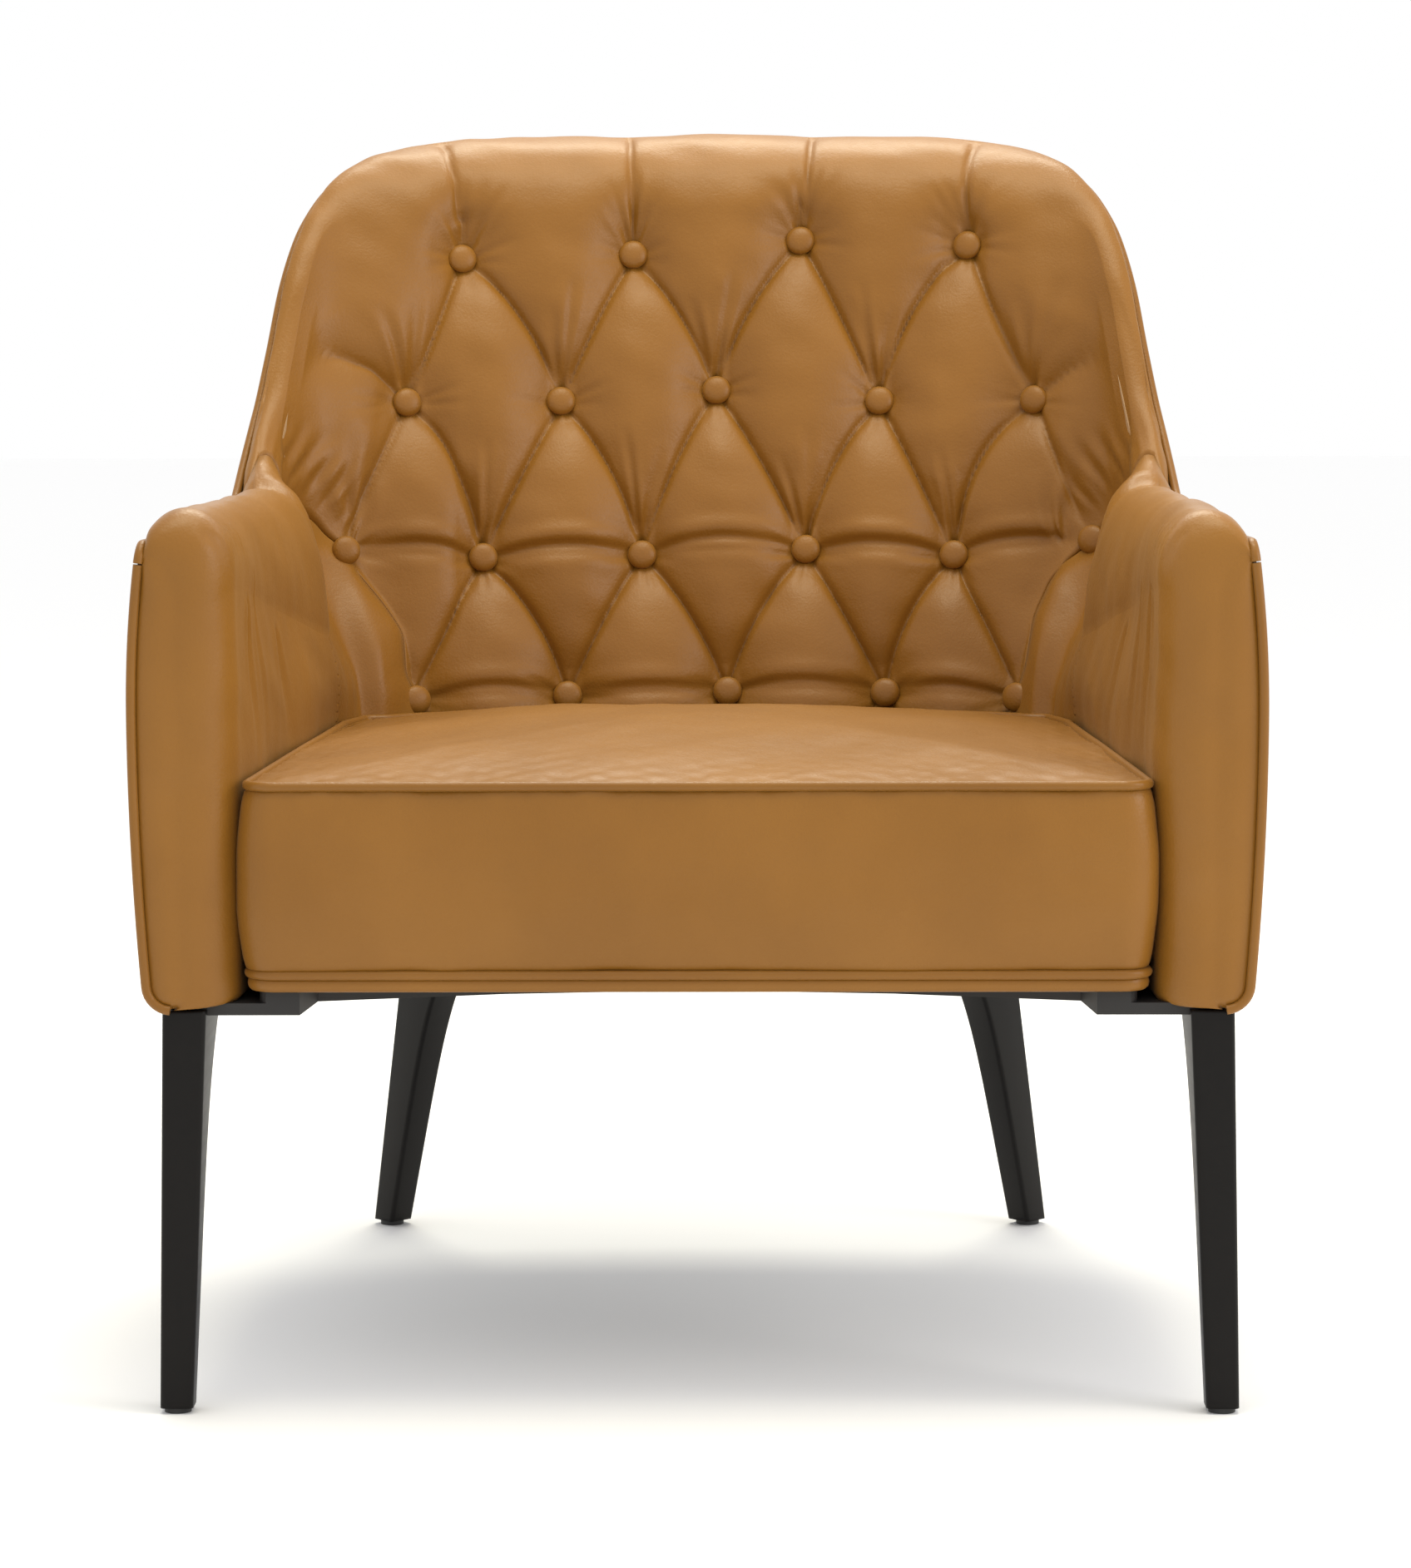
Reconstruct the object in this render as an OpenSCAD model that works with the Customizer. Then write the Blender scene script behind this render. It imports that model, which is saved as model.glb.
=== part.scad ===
// Upholstered armchair: a curved, button-tufted shell around a fixed seat block on four tapered legs.
// +X is the right of someone facing the chair, the chair faces -Y, and z = 0 is the floor.

/* [Overall] */
// Width over the arms at their widest
overall_w = 746; // [720:2:780]
// Depth from the arm fronts to the rear piping
overall_d = 770; // [750:5:800]
// Height of the top of the back
overall_h = 855; // [835:5:880]

/* [Shell plan] */
// Radius of the rear corners, measured on the outside
corner_r = 196; // [186:2:210]
// Angle that the bowed back turns before each corner
bow_angle = 8; // [6:0.5:10]
// Angle by which each side opens toward the front
side_toe = 1; // [0.5:0.1:2]
// Backward lean of the back
back_lean = 13; // [10:0.5:15]

/* [Shell heights] */
// Height of the underside of the arms
shell_bottom_h = 276; // [270:1:280]
// Height of the arm crown at its front
arm_h = 601; // [590:1:615]
// Fall of the arm crown toward the rear
arm_fall = 15; // [5:1:20]
// Rise of the padded crown of the back above its piping
crown_rise = 14; // [10:1:18]
// Rise of the padded crown of the arms above their piping
arm_crown_rise = 21; // [16:1:24]
// Height at which the sides are widest
belly_h = 466; // [450:2:480]
// Inward pull of the sides at the underside
belly_tuck = 8; // [4:1:12]

/* [Shell padding] */
// Thickness of the arms at the front
arm_t = 67; // [64:1:76]
// Thickness of the arms where they meet the back
arm_rear_t = 85; // [80:1:92]
// Thickness of the back at seat height
back_t = 104; // [96:1:112]
// Thinning of the back for each millimetre of height
back_thinning = 0.07; // [0.04:0.01:0.09]
// Radius of the inner edge of the crown
crown_r = 31; // [26:1:34]
// Radius of the inner front edge of the arms
arm_front_r = 26; // [20:1:32]
// Thickness of the leather with its lining
leather_t = 2; // [1.5:0.1:2.5]
// Thickness of the padding under the outer leather
outer_pad_t = 6; // [4:0.5:8]
// Thickness of the moulded plywood panels
panel_t = 14; // [10:1:18]
// Step of the plywood edge below the piping
panel_drop = 12; // [8:1:20]

/* [Tufting] */
// Distance between buttons along a row
tuft_pitch = 124; // [118:1:128]
// Distance between rows of buttons
tuft_rise = 114; // [110:1:118]
// Height of the second row of buttons from the top
tuft_h = 650; // [640:1:660]
// Depth of the creases below the pillows
tuft_depth = 22; // [14:1:28]
// Diameter of the buttons
button_d = 23; // [20:1:26]
// Height of the buttons
button_h = 7; // [5:0.5:9]

/* [Piping] */
// Diameter of the piping
piping_d = 6.5; // [5:0.5:8]
// Distance that the piping stands out of the leather
piping_proud = 2.5; // [1.5:0.5:3]

/* [Seat] */
// Height of the upper seat piping
seat_h = 421; // [412:1:430]
// Height of the lower edge of the seat leather
seat_bottom_h = 284; // [281:1:288]
// Height of the lower piping above that edge
lower_piping_rise = 12; // [8:1:16]
// Rise of the padded crown of the seat
seat_crown = 24; // [15:1:32]
// Rise of the front of the seat over its rear
seat_pitch_rise = 10; // [0:1:20]
// Gap between the seat block and the shell
seat_gap = 3.5; // [3.5:0.5:6]
// Set-back of the seat front from the arm fronts
seat_inset = 3; // [3:1:10]
// Radius of the front corners of the seat in plan
seat_corner_r = 20; // [14:1:32]

/* [Seat frame] */
// Height of the beech seat rails
rail_h = 50; // [40:1:60]
// Thickness of the beech seat rails
rail_t = 25; // [20:1:30]
// Number of zigzag springs
spring_count = 5; // [4:1:6]
// Diameter of the spring wire
wire_d = 3.8; // [3:0.2:5]
// Thickness of the black base board
base_t = 8; // [6:1:8]
// Set-back of the base board from the arm fronts
base_inset = 70; // [55:5:90]

/* [Legs] */
// Width and depth of each foot
foot_w = 22; // [20:1:28]
// Width of each leg at its top
leg_top_w = 29; // [26:1:36]
// Depth of each leg at its top
leg_top_depth = 88; // [70:2:100]
// Distance from the middle plane to the front feet
front_foot_x = 348; // [335:1:352]
// Distance from the origin forward to the front feet
front_foot_y = 365; // [350:1:370]
// Distance from the middle plane to the rear feet
rear_foot_x = 251; // [235:1:265]
// Distance from the origin back to the rear feet
rear_foot_y = 235; // [220:1:250]
// Outward splay of the front legs over their height
front_splay = 9; // [4:1:14]
// Outward splay of the rear legs over their height
rear_splay = 50; // [36:1:54]
// Rounding of the long edges of the legs
leg_edge_r = 3.5; // [2:0.5:5]
// Thickness of the steel leg plates
plate_t = 4; // [3:0.5:5]
// Diameter of the leg bolts
bolt_d = 8; // [6:1:10]
// Thickness of the nylon glides
glide_t = 4; // [3:0.5:6]

/* [Hidden] */

fit = 0.3;
eps = 0.01;
facets = 48;
piping_r = piping_d / 2;
front_y = piping_proud - overall_d / 2;
back_tan = tan(back_lean);

// Heights of the shell's piping edge
top_edge_h = overall_h - crown_rise;
arm_edge_h = arm_h - arm_crown_rise;
valley_edge_h = arm_edge_h - arm_fall;
lean_h = 430;
back_outer_y = overall_d / 2 - piping_proud - back_tan * (top_edge_h - lean_h);

// Plan of the shell's outside: a bowed back, a tighter corner and a nearly straight side
side_angle = 90 - side_toe;
bow_tan = tan(bow_angle / 2);
corner_dx = corner_r * (sin(side_angle) - sin(bow_angle));
corner_dy = corner_r * (cos(bow_angle) - cos(side_angle));
side_cot = 1 / tan(side_angle);
side_run = back_outer_y + corner_dx * bow_tan - corner_dy - front_y;
side_x = (overall_w / 2 - piping_proud - side_cot * side_run) / (1 - bow_tan * side_cot);
bow_x = side_x - corner_dx;
bow_r = bow_x / sin(bow_angle);
bow_y = back_outer_y - bow_r * (1 - cos(bow_angle));
corner_y = bow_y - corner_dy;
bow_l = bow_r * bow_angle * PI / 180;
corner_l = corner_r * (side_angle - bow_angle) * PI / 180;
side_l = (corner_y - front_y) / sin(side_angle);
shell_l = bow_l + corner_l + side_l;
corner_end_l = bow_l + corner_l;

// Share of the rise from arm edge to back edge, against the plan angle
wing_curve = [
    [0, 1], [8, 0.99], [17, 0.98], [30, 0.95], [38, 0.92], [43, 0.88], [48, 0.815], [52, 0.745],
    [57, 0.615], [62, 0.44], [68, 0.28], [79, 0.1], [90, 0]
];

// Layers of the padded walls, counted inward from the outside
skin_d = leather_t + fit;
panel_d = skin_d + outer_pad_t + fit;
foam_d = panel_d + panel_t + fit;
piping_centre_d = piping_r - piping_proud;
welt_d = piping_d - piping_proud + fit;
front_piping_l = shell_l - piping_centre_d;
front_skin_l = front_piping_l - piping_r - fit;
tuft_plane_d = 85;

// Grid of the tufted face
seam_steps = 10;
seam_a = tuft_pitch * seam_steps / 4;
face_rows = 17;
face_top_h = tuft_h + tuft_rise * 1.25;

function flat(v) = [for (part = v) each part];
function reversed(v) = [for (i = [len(v) - 1 : -1 : 0]) v[i]];
function clamp(x, low, high) = min(max(x, low), high);

// Smooth curve through [x, y] points
function slope(p, i) =
    let (a = max(i - 1, 0), b = min(i + 1, len(p) - 1))
    (p[b].y - p[a].y) / (p[b].x - p[a].x);
function span_of(p, x, i = 0) = i >= len(p) - 2 || x < p[i + 1].x ? i : span_of(p, x, i + 1);
function curve_at(p, x) =
    let (
        i = span_of(p, x),
        h = p[i + 1].x - p[i].x,
        t = clamp((x - p[i].x) / h, 0, 1),
        rise = p[i + 1].y - p[i].y,
        m0 = slope(p, i) * h,
        m1 = slope(p, i + 1) * h
    )
    p[i].y + m0 * t + (3 * rise - 2 * m0 - m1) * t * t + (m0 + m1 - 2 * rise) * t * t * t;

// Plan angle, outside point and outward normal at a run l along the shell from the back's middle
function plan_angle(l) =
    let (run = abs(l))
    run <= bow_l ? run / bow_r * 180 / PI
    : run <= corner_end_l ? bow_angle + (run - bow_l) / corner_r * 180 / PI
    : side_angle;
function plan_half(l) =
    let (angle = plan_angle(l))
    l <= bow_l ? [bow_r * sin(angle), back_outer_y - bow_r * (1 - cos(angle))]
    : l <= corner_end_l
        ? [bow_x + corner_r * (sin(angle) - sin(bow_angle)), bow_y + corner_r * (cos(angle) - cos(bow_angle))]
    : [side_x + (l - corner_end_l) * cos(angle), corner_y - (l - corner_end_l) * sin(angle)];
function plan_point(l) = let (p = plan_half(abs(l))) [sign(l) * p.x, p.y];
function plan_normal(l) = let (angle = plan_angle(l)) [sign(l) * sin(angle), cos(angle)];

// Share of the back's lean that reaches a run, and the belly of the sides
function back_share(l) = cos(plan_angle(l) / side_angle * 90);
function belly(l, z) =
    let (low = (belly_h - z) / (belly_h - shell_bottom_h), high = (z - belly_h) / (arm_edge_h - belly_h))
    z < belly_h ? -belly_tuck * low * low : -belly_tuck * min(high * high, 1) * (1 - back_share(l));

// Point of the wall at a run, a height and a depth inward from the outside
function wall_point(l, z, d) =
    let (p = plan_point(l), n = plan_normal(l), o = belly(l, z) - d)
    [p.x + n.x * o, p.y + n.y * o + back_tan * (z - lean_h) * back_share(l), z];

// Height of the piping edge and thickness of the padded wall
function edge_h(l) =
    let (
        run = abs(l),
        share = curve_at(wing_curve, plan_angle(l)),
        arm_run = clamp((run - corner_end_l) / side_l, 0, 1),
        low = valley_edge_h + arm_fall * arm_run
    )
    low + (top_edge_h - low) * (run > corner_end_l ? 0 : share);
function edge_slope(l) = (edge_h(abs(l) + 2) - edge_h(abs(l) - 2)) / 4;
function steep(l) = sqrt(1 + pow(edge_slope(l), 2));
function wall_t(l, z) =
    let (
        arm_run = clamp((abs(l) - corner_end_l) / side_l, 0, 1),
        arm = arm_rear_t + (arm_t - arm_rear_t) * arm_run,
        back = back_t - back_thinning * (z - lean_h)
    )
    arm + (back - arm) * back_share(l) + belly(l, z);

// Rounding of the inner and top edges at the arm fronts
function front_cut(l) =
    let (run = clamp(abs(l) - (shell_l - arm_front_r), 0, arm_front_r))
    arm_front_r - sqrt(arm_front_r * arm_front_r - run * run);

// Distance along the tufted face, and the run that it lies on
bow_a = (bow_r - tuft_plane_d) * bow_angle * PI / 180;
corner_share = corner_r / (corner_r - tuft_plane_d);
function run_of(a) =
    let (s = abs(a))
    sign(a) * (s <= bow_a ? s * bow_r / (bow_r - tuft_plane_d) : bow_l + (s - bow_a) * corner_share);
function arc_of(l) =
    let (s = abs(l))
    sign(l) * (s <= bow_l ? s * (bow_r - tuft_plane_d) / bow_r : bow_a + (s - bow_l) / corner_share);
seam_l = run_of(seam_a);

// Depth of the pillows below their crowns: creases run from button to button
function crease(a, z) =
    let (
        u = a / tuft_pitch,
        v = (z - tuft_h) / tuft_rise / 2,
        pillow = sqrt(abs(sin(180 * (u + v)) * sin(180 * (u - v)))),
        edge = clamp((seam_a - abs(a)) / tuft_pitch * 4, 0, 1),
        top = clamp((face_top_h + tuft_rise / 8 - z) / tuft_rise * 2.5, 0, 1)
    )
    tuft_depth * (1 - pillow) * edge * top;

// Two triangles of a four-sided face, split along either diagonal
function quad(a, b, c, d, turned) = turned ? [[a, b, d], [b, c, d]] : [[a, b, c], [a, c, d]];
function faced(faces, flip) = flip ? [for (f = faces) reversed(f)] : faces;

// Closed solid from a list of closed loops with the same number of points: flip where the loops turn
// clockwise as seen along the list, even where the list is its own mirror image
module loft(loops, flip = false, even = false) {
    n = len(loops[0]);
    m = len(loops);
    sides = [
        for (i = [0 : m - 2])
            for (k = [0 : n - 1])
                let (a = i * n + k, b = i * n + (k + 1) % n)
                    each quad(a, b, b + n, a + n, even && i < (m - 1) / 2)
    ];
    first = [for (k = [n - 1 : -1 : 0]) k];
    last = [for (k = [0 : n - 1]) (m - 1) * n + k];
    polyhedron(points = flat(loops), faces = faced(concat([first], sides, [last]), flip), convexity = 6);
}

// Thin skin between two surfaces given as rows of points, the first row set outside
module skin(outer, inner, even = false) {
    m = len(outer);
    n = len(outer[0]);
    all_points = concat(flat(outer), flat(inner));
    size = m * n;
    outside = [
        for (i = [0 : m - 2])
            for (k = [0 : n - 2])
                let (a = i * n + k)
                    each quad(a, a + 1, a + n + 1, a + n, even && i < (m - 1) / 2)
    ];
    inside = [for (f = outside) [f[2] + size, f[1] + size, f[0] + size]];
    ends = [
        for (k = [0 : n - 2])
            let (b = (m - 1) * n + k)
                each [
                    [k, k + size, k + 1 + size], [k, k + 1 + size, k + 1],
                    [b, b + 1, b + 1 + size], [b, b + 1 + size, b + size]
                ]
    ];
    rims = [
        for (i = [0 : m - 2])
            let (a = i * n, b = i * n + n - 1)
                each [
                    [a, a + n, a + n + size], [a, a + n + size, a + size],
                    [b, b + size, b + n + size], [b, b + n + size, b + n]
                ]
    ];
    polyhedron(points = all_points, faces = concat(outside, inside, ends, rims), convexity = 6);
}

// Round bar swept along a list of points
module sweep_bar(path, r, sides = 8) {
    n = len(path);
    function ahead(i) = let (v = path[min(i + 1, n - 1)] - path[max(i - 1, 0)]) v / norm(v);
    function across(i) =
        let (t = ahead(i), up = abs(t.z) > 0.8 ? [0, 1, 0] : [0, 0, 1], c = cross(t, up))
        c / norm(c);
    loops = [
        for (i = [0 : n - 1])
            let (t = ahead(i), c = across(i), b = cross(c, t))
                [for (q = [0 : 360 / sides : 359]) path[i] + r * (cos(q) * c + sin(q) * b)]
    ];
    loft(loops);
}

// Section of the padded wall from its piping edge over the crown and down the inner face, inset by o
crown_steps = 4;
function crown_points(l, o) =
    let (
        top = edge_h(l),
        cut = front_cut(l),
        t = wall_t(l, top) - cut,
        r = inner_crown_r(l),
        rise = crown_height(l),
        tall = steep(l),
        mid = t - r
    )
    concat(
        [for (k = [0 : crown_steps]) let (q = 180 - 90 * k / crown_steps)
            wall_point(l, top + tall * (rise - o) * sin(q), mid + (mid - welt_d - o) * cos(q))],
        [for (k = [1 : crown_steps]) let (q = 90 - 90 * k / crown_steps)
            wall_point(l, top + tall * (rise - r + (r - o) * sin(q)), mid + (r - o) * cos(q))]
    );
function crown_height(l) =
    let (share = curve_at(wing_curve, plan_angle(l)))
    arm_crown_rise + (crown_rise - arm_crown_rise) * share - front_cut(l) * 0.3;
function inner_crown_r(l) = crown_r - front_cut(l) * 0.5;
function face_top(l) = edge_h(l) + steep(l) * (crown_height(l) - inner_crown_r(l));
row_step = 2;
function face_row(l, k) =
    k == face_rows ? shell_bottom_h : min(face_top_h - (k - 1) * tuft_rise / 4, face_top(l) - row_step * k);
function face_points(l, o, tufted) =
    [for (k = [1 : face_rows])
        let (z = face_row(l, k), d = wall_t(l, z) - front_cut(l) - o)
            wall_point(l, z, d - (tufted ? crease(arc_of(l), z) : 0))];
function wall_section(l, o, tufted = false) = concat(crown_points(l, o), face_points(l, o, tufted));

// Runs of the tufted stations and of the arm stations
back_runs = [for (i = [-seam_steps : seam_steps]) run_of(seam_a * i / seam_steps)];
arm_runs = concat(
    [seam_l + fit, (seam_l + corner_end_l) / 2, corner_end_l],
    [for (i = [1 : 3]) corner_end_l + side_l * i / 4],
    [for (k = [0 : 4]) shell_l - arm_front_r + arm_front_r * sin(90 * k / 5)]
);

// Heights of the plywood's rows of points: its top edge lies a step below the piping
layer_rows = 5;
function layer_h(l, k) =
    let (top = edge_h(l) - steep(l) * panel_drop)
    shell_bottom_h + (top - shell_bottom_h) * k / layer_rows;

// Padding: the section closed along the plywood
function foam_loop(l, o, tufted) =
    let (top = edge_h(l) - steep(l) * (panel_drop - fit))
    concat(
        wall_section(l, o, tufted),
        [for (k = [0 : layer_rows - 1]) wall_point(l, layer_h(l, k), foam_d)],
        [wall_point(l, top, foam_d), wall_point(l, top, skin_d)]
    );

module mirrored() {
    mirror([1, 0, 0]) children();
}

// ---- Shell -------------------------------------------------------------------------------------

foam_inset = skin_d + fit;
module back_foam() {
    color("khaki") loft([for (l = back_runs) foam_loop(l, foam_inset, true)], flip = true, even = true);
}

module back_cover() {
    color("peru")
        skin(
            [for (l = back_runs) wall_section(l, leather_t, true)],
            [for (l = back_runs) wall_section(l, 0, true)],
            even = true
        );
}

module arm_foam() {
    runs = [for (l = arm_runs) l - (l > corner_end_l + side_l / 2 ? skin_d + 3 * fit : 0)];
    color("khaki") loft([for (l = runs) foam_loop(l, foam_inset, false)], flip = true);
}

// The arm leather: the skin over the crown and inner face, and the front panel sewn to its edge
module arm_cover() {
    last = arm_runs[len(arm_runs) - 1];
    cap_runs = [last + fit / 2, (last + shell_l) / 2, shell_l];
    color("peru") {
        skin([for (l = arm_runs) wall_section(l, leather_t)], [for (l = arm_runs) wall_section(l, 0)]);
        loft(
            [for (l = cap_runs) concat(wall_section(l, 0), [wall_point(l, shell_bottom_h, welt_d)])],
            flip = true
        );
    }
}

module left_arm_foam() mirrored() arm_foam();
module right_arm_foam() arm_foam();
module left_arm_cover() mirrored() arm_cover();
module right_arm_cover() arm_cover();

// Vertical layer of the wall between two depths, with its top edge a set distance below the piping
module wall_layer(runs, d0, d1, drop, even = false) {
    rows = drop < panel_drop ? layer_rows + 1 : layer_rows;
    function height(l, k) = k > layer_rows ? edge_h(l) - steep(l) * drop : layer_h(l, k);
    function side(d) = [for (l = runs) [for (k = [0 : rows]) wall_point(l, height(l, k), d)]];
    skin(side(d1), side(d0), even);
}
function run_steps(l0, l1, n) = [for (i = [0 : n]) l0 + (l1 - l0) * i / n];
half_runs = concat(
    [for (i = [0 : seam_steps]) run_of(seam_a * i / seam_steps)],
    [(seam_l + corner_end_l) / 2, corner_end_l]
);
split = seam_steps - 2;
split_l = half_runs[split];
side_runs = concat(
    [split_l + fit],
    [for (i = [split + 1 : len(half_runs) - 1]) half_runs[i]],
    [for (i = [1 : 3]) corner_end_l + side_l * i / 4]
);
rear_runs = concat([for (i = [split : -1 : 1]) -half_runs[i]], [for (i = [0 : split]) half_runs[i]]);
front_l = shell_l - skin_d - fit;

module side_layer(d0, d1, drop, end_l) {
    wall_layer(concat(side_runs, [end_l]), d0, d1, drop);
}
module back_panel() {
    color("burlywood") wall_layer(rear_runs, panel_d, panel_d + panel_t, panel_drop, even = true);
}
module right_arm_panel() {
    color("burlywood") side_layer(panel_d, panel_d + panel_t, panel_drop, front_l);
}
module left_arm_panel() mirrored() right_arm_panel();

module outer_back_padding() {
    color("khaki") wall_layer(rear_runs, skin_d, skin_d + outer_pad_t, panel_drop, even = true);
}
module right_outer_padding() {
    color("khaki") side_layer(skin_d, skin_d + outer_pad_t, panel_drop, front_skin_l);
}
module left_outer_padding() mirrored() right_outer_padding();

cover_drop = piping_r + 2 * fit;
module outer_back_cover() {
    color("peru") wall_layer(rear_runs, 0, leather_t, cover_drop, even = true);
}
module right_outer_cover() {
    color("peru") side_layer(0, leather_t, cover_drop, front_skin_l);
}
module left_outer_cover() mirrored() right_outer_cover();

// Piping: one length around the shell's edge, and one down the outer edge of each arm front
module shell_edge_piping() {
    half = concat(
        [for (i = [1 : split]) half_runs[i]],
        [for (i = [1 : len(side_runs) - 1]) side_runs[i]],
        [front_piping_l]
    );
    runs = concat([for (i = [len(half) - 1 : -1 : 0]) -half[i]], [0], half);
    color("sienna") sweep_bar([for (l = runs) wall_point(l, edge_h(l), piping_centre_d)], piping_r);
}
module arm_front_piping() {
    top = edge_h(front_piping_l) - piping_d;
    color("sienna")
        sweep_bar(
            [for (z = run_steps(shell_bottom_h, top, 8)) wall_point(front_piping_l, z, piping_centre_d)],
            piping_r
        );
}
module left_arm_front_piping() mirrored() arm_front_piping();
module right_arm_front_piping() arm_front_piping();

// Buttons: [steps of half a pitch from the middle, rows above the second]
button_sites = [
    for (row = [1 : -1 : -2])
        for (k = [-5 : 5])
            if ((k + row) % 2 == 0 && abs(k) <= (row % 2 == 0 ? 4 : row > 0 ? 3 : 5))
                [k, row]
];

// Place of a button, and the pillows a quarter of a diamond away around it
function tufted_point(a, z) = let (l = run_of(a)) wall_point(l, z, wall_t(l, z) - crease(a, z));
function button_seat(site, i = 0, k = 0) =
    tufted_point((site.x / 2 + i / 4) * tuft_pitch, tuft_h + (site.y + k / 4) * tuft_rise);

// The button faces out from the pillows around it, and its underside tapers to clear them
module tuft_buttons() {
    around = [
        [1, 0, 1, 1], [1, 1, 0, 1], [0, 1, -1, 1], [-1, 1, -1, 0], [-1, 0, -1, -1], [-1, -1, 0, -1],
        [0, -1, 1, -1], [1, -1, 1, 0], [1, 0, 0, 1], [0, 1, -1, 0], [-1, 0, 0, -1], [0, -1, 1, 0]
    ];
    color("peru")
        for (site = button_sites) {
            seat = button_seat(site);
            out = cross(
                button_seat(site, 1, 0) - button_seat(site, -1, 0),
                button_seat(site, 0, 1) - button_seat(site, 0, -1)
            );
            axis = out / norm(out);
            rises = [
                for (pair = around)
                    let (
                        v = button_seat(site, pair[0], pair[1]) - seat,
                        w = button_seat(site, pair[2], pair[3]) - seat,
                        n = cross(v, w),
                        c = n * axis / norm(n)
                    )
                    tan(acos(c))
            ];
            lift = max(rises) * button_d / 2;
            translate(seat + fit * axis)
                rotate([0, acos(axis.z), atan2(axis.y, axis.x)])
                    rotate_extrude($fn = facets)
                        polygon(concat(
                            [[0, 0]],
                            [for (q = [0 : 15 : 90]) [button_d / 2 * cos(q), lift + button_h * sin(q)]]
                        ));
        }
}

// ---- Seat --------------------------------------------------------------------------------------

// Plan outline of the seat block at a height, inset by o: it follows the inner face of the shell
seat_front_y = front_y + seat_inset;
seat_corner_l = shell_l - (seat_inset + seat_corner_r) / sin(side_angle);
function seat_side(l, z, o) = let (p = wall_point(l, z, wall_t(l, z) + seat_gap + o)) [p.x, p.y];
seat_runs = concat(
    run_steps(seat_corner_l, corner_end_l, 3),
    [for (i = [1 : 7]) corner_end_l - corner_l * i / 7],
    [bow_l / 2, 0]
);
function seat_half(z, o) =
    let (
        r = seat_corner_r - o,
        c = [seat_side(seat_corner_l, z, o).x - r, seat_front_y + seat_corner_r]
    )
    concat(
        [for (q = [-90 : 18 : -1]) c + r * [cos(q), sin(q)]],
        [for (l = seat_runs) seat_side(l, z, o)]
    );
function seat_ring(z, o) =
    let (half = seat_half(z, o), n = len(half))
    concat(half, [for (i = [n - 2 : -1 : 0]) [-half[i].x, half[i].y]]);

// Height of the padded crown at a share s of the way from the middle to the piping, and its tilt
seat_mid_y = (seat_front_y + seat_side(0, seat_h, 0).y) / 2;
seat_half_depth = seat_mid_y - seat_front_y;
function seat_tilt(y) = -seat_pitch_rise * (y - seat_front_y) / seat_half_depth / 2;
function crown_share(s) = pow(1 - pow(s, 2.6), 0.75);
function top_ring(s, drop) =
    [for (p = seat_ring(seat_h, 0))
        let (x = p.x * s, y = seat_mid_y + (p.y - seat_mid_y) * s)
            [x, y, seat_h + piping_r + fit - drop + seat_crown * crown_share(s) + seat_tilt(y)]];
top_shares = [0.985, 0.95, 0.88, 0.76, 0.58, 0.36, 0.14];
function level_ring(z, o) = [for (p = seat_ring(z, o)) [p.x, p.y, z + (z > seat_mid_h ? seat_tilt(p.y) : 0)]];
seat_mid_h = (seat_h + seat_bottom_h) / 2;
border_bulge = 3;

// Closed ring from closed loops
module ring_loft(loops) {
    n = len(loops[0]);
    m = len(loops);
    faces = [
        for (i = [0 : m - 1])
            for (k = [0 : n - 1])
                let (j = (i + 1) % m, h = (k + 1) % n)
                    each [[i * n + k, i * n + h, j * n + h], [i * n + k, j * n + h, j * n + k]]
    ];
    polyhedron(points = flat(loops), faces = faces, convexity = 6);
}
module ring_bar(path, r, sides = 8) {
    n = len(path);
    loops = [
        for (i = [0 : n - 1])
            let (
                v = path[(i + 1) % n] - path[(i + n - 1) % n],
                t = v / norm(v),
                c = cross(t, [0, 0, 1]) / norm(cross(t, [0, 0, 1])),
                b = cross(c, t)
            )
                [for (q = [0 : 360 / sides : 359]) path[i] + r * (cos(q) * c + sin(q) * b)]
    ];
    ring_loft(loops);
}

clip_l = 16;
clip_w = 14;
clip_t = 1.5;
rail_top_h = seat_bottom_h + rail_h;
deck_h = rail_top_h + wire_d + fit + clip_t + fit;
module seat_foam() {
    low = skin_d;
    groove = piping_d + fit;
    color("khaki")
        loft(concat(
            [level_ring(deck_h + deck_cloth_t + fit, low + 1)],
            [level_ring(seat_h - piping_r - fit * 2, low), level_ring(seat_h - piping_r - fit, groove)],
            [for (s = [for (t = top_shares) if (t < 0.96) t]) top_ring(s, leather_t + fit)]
        ), flip = true);
}
deck_cloth_t = 1.5;
module spring_deck_cloth() {
    color("tan")
        translate([0, 0, deck_h]) linear_extrude(deck_cloth_t) polygon(seat_ring(rail_top_h, rail_t / 2));
}

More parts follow.
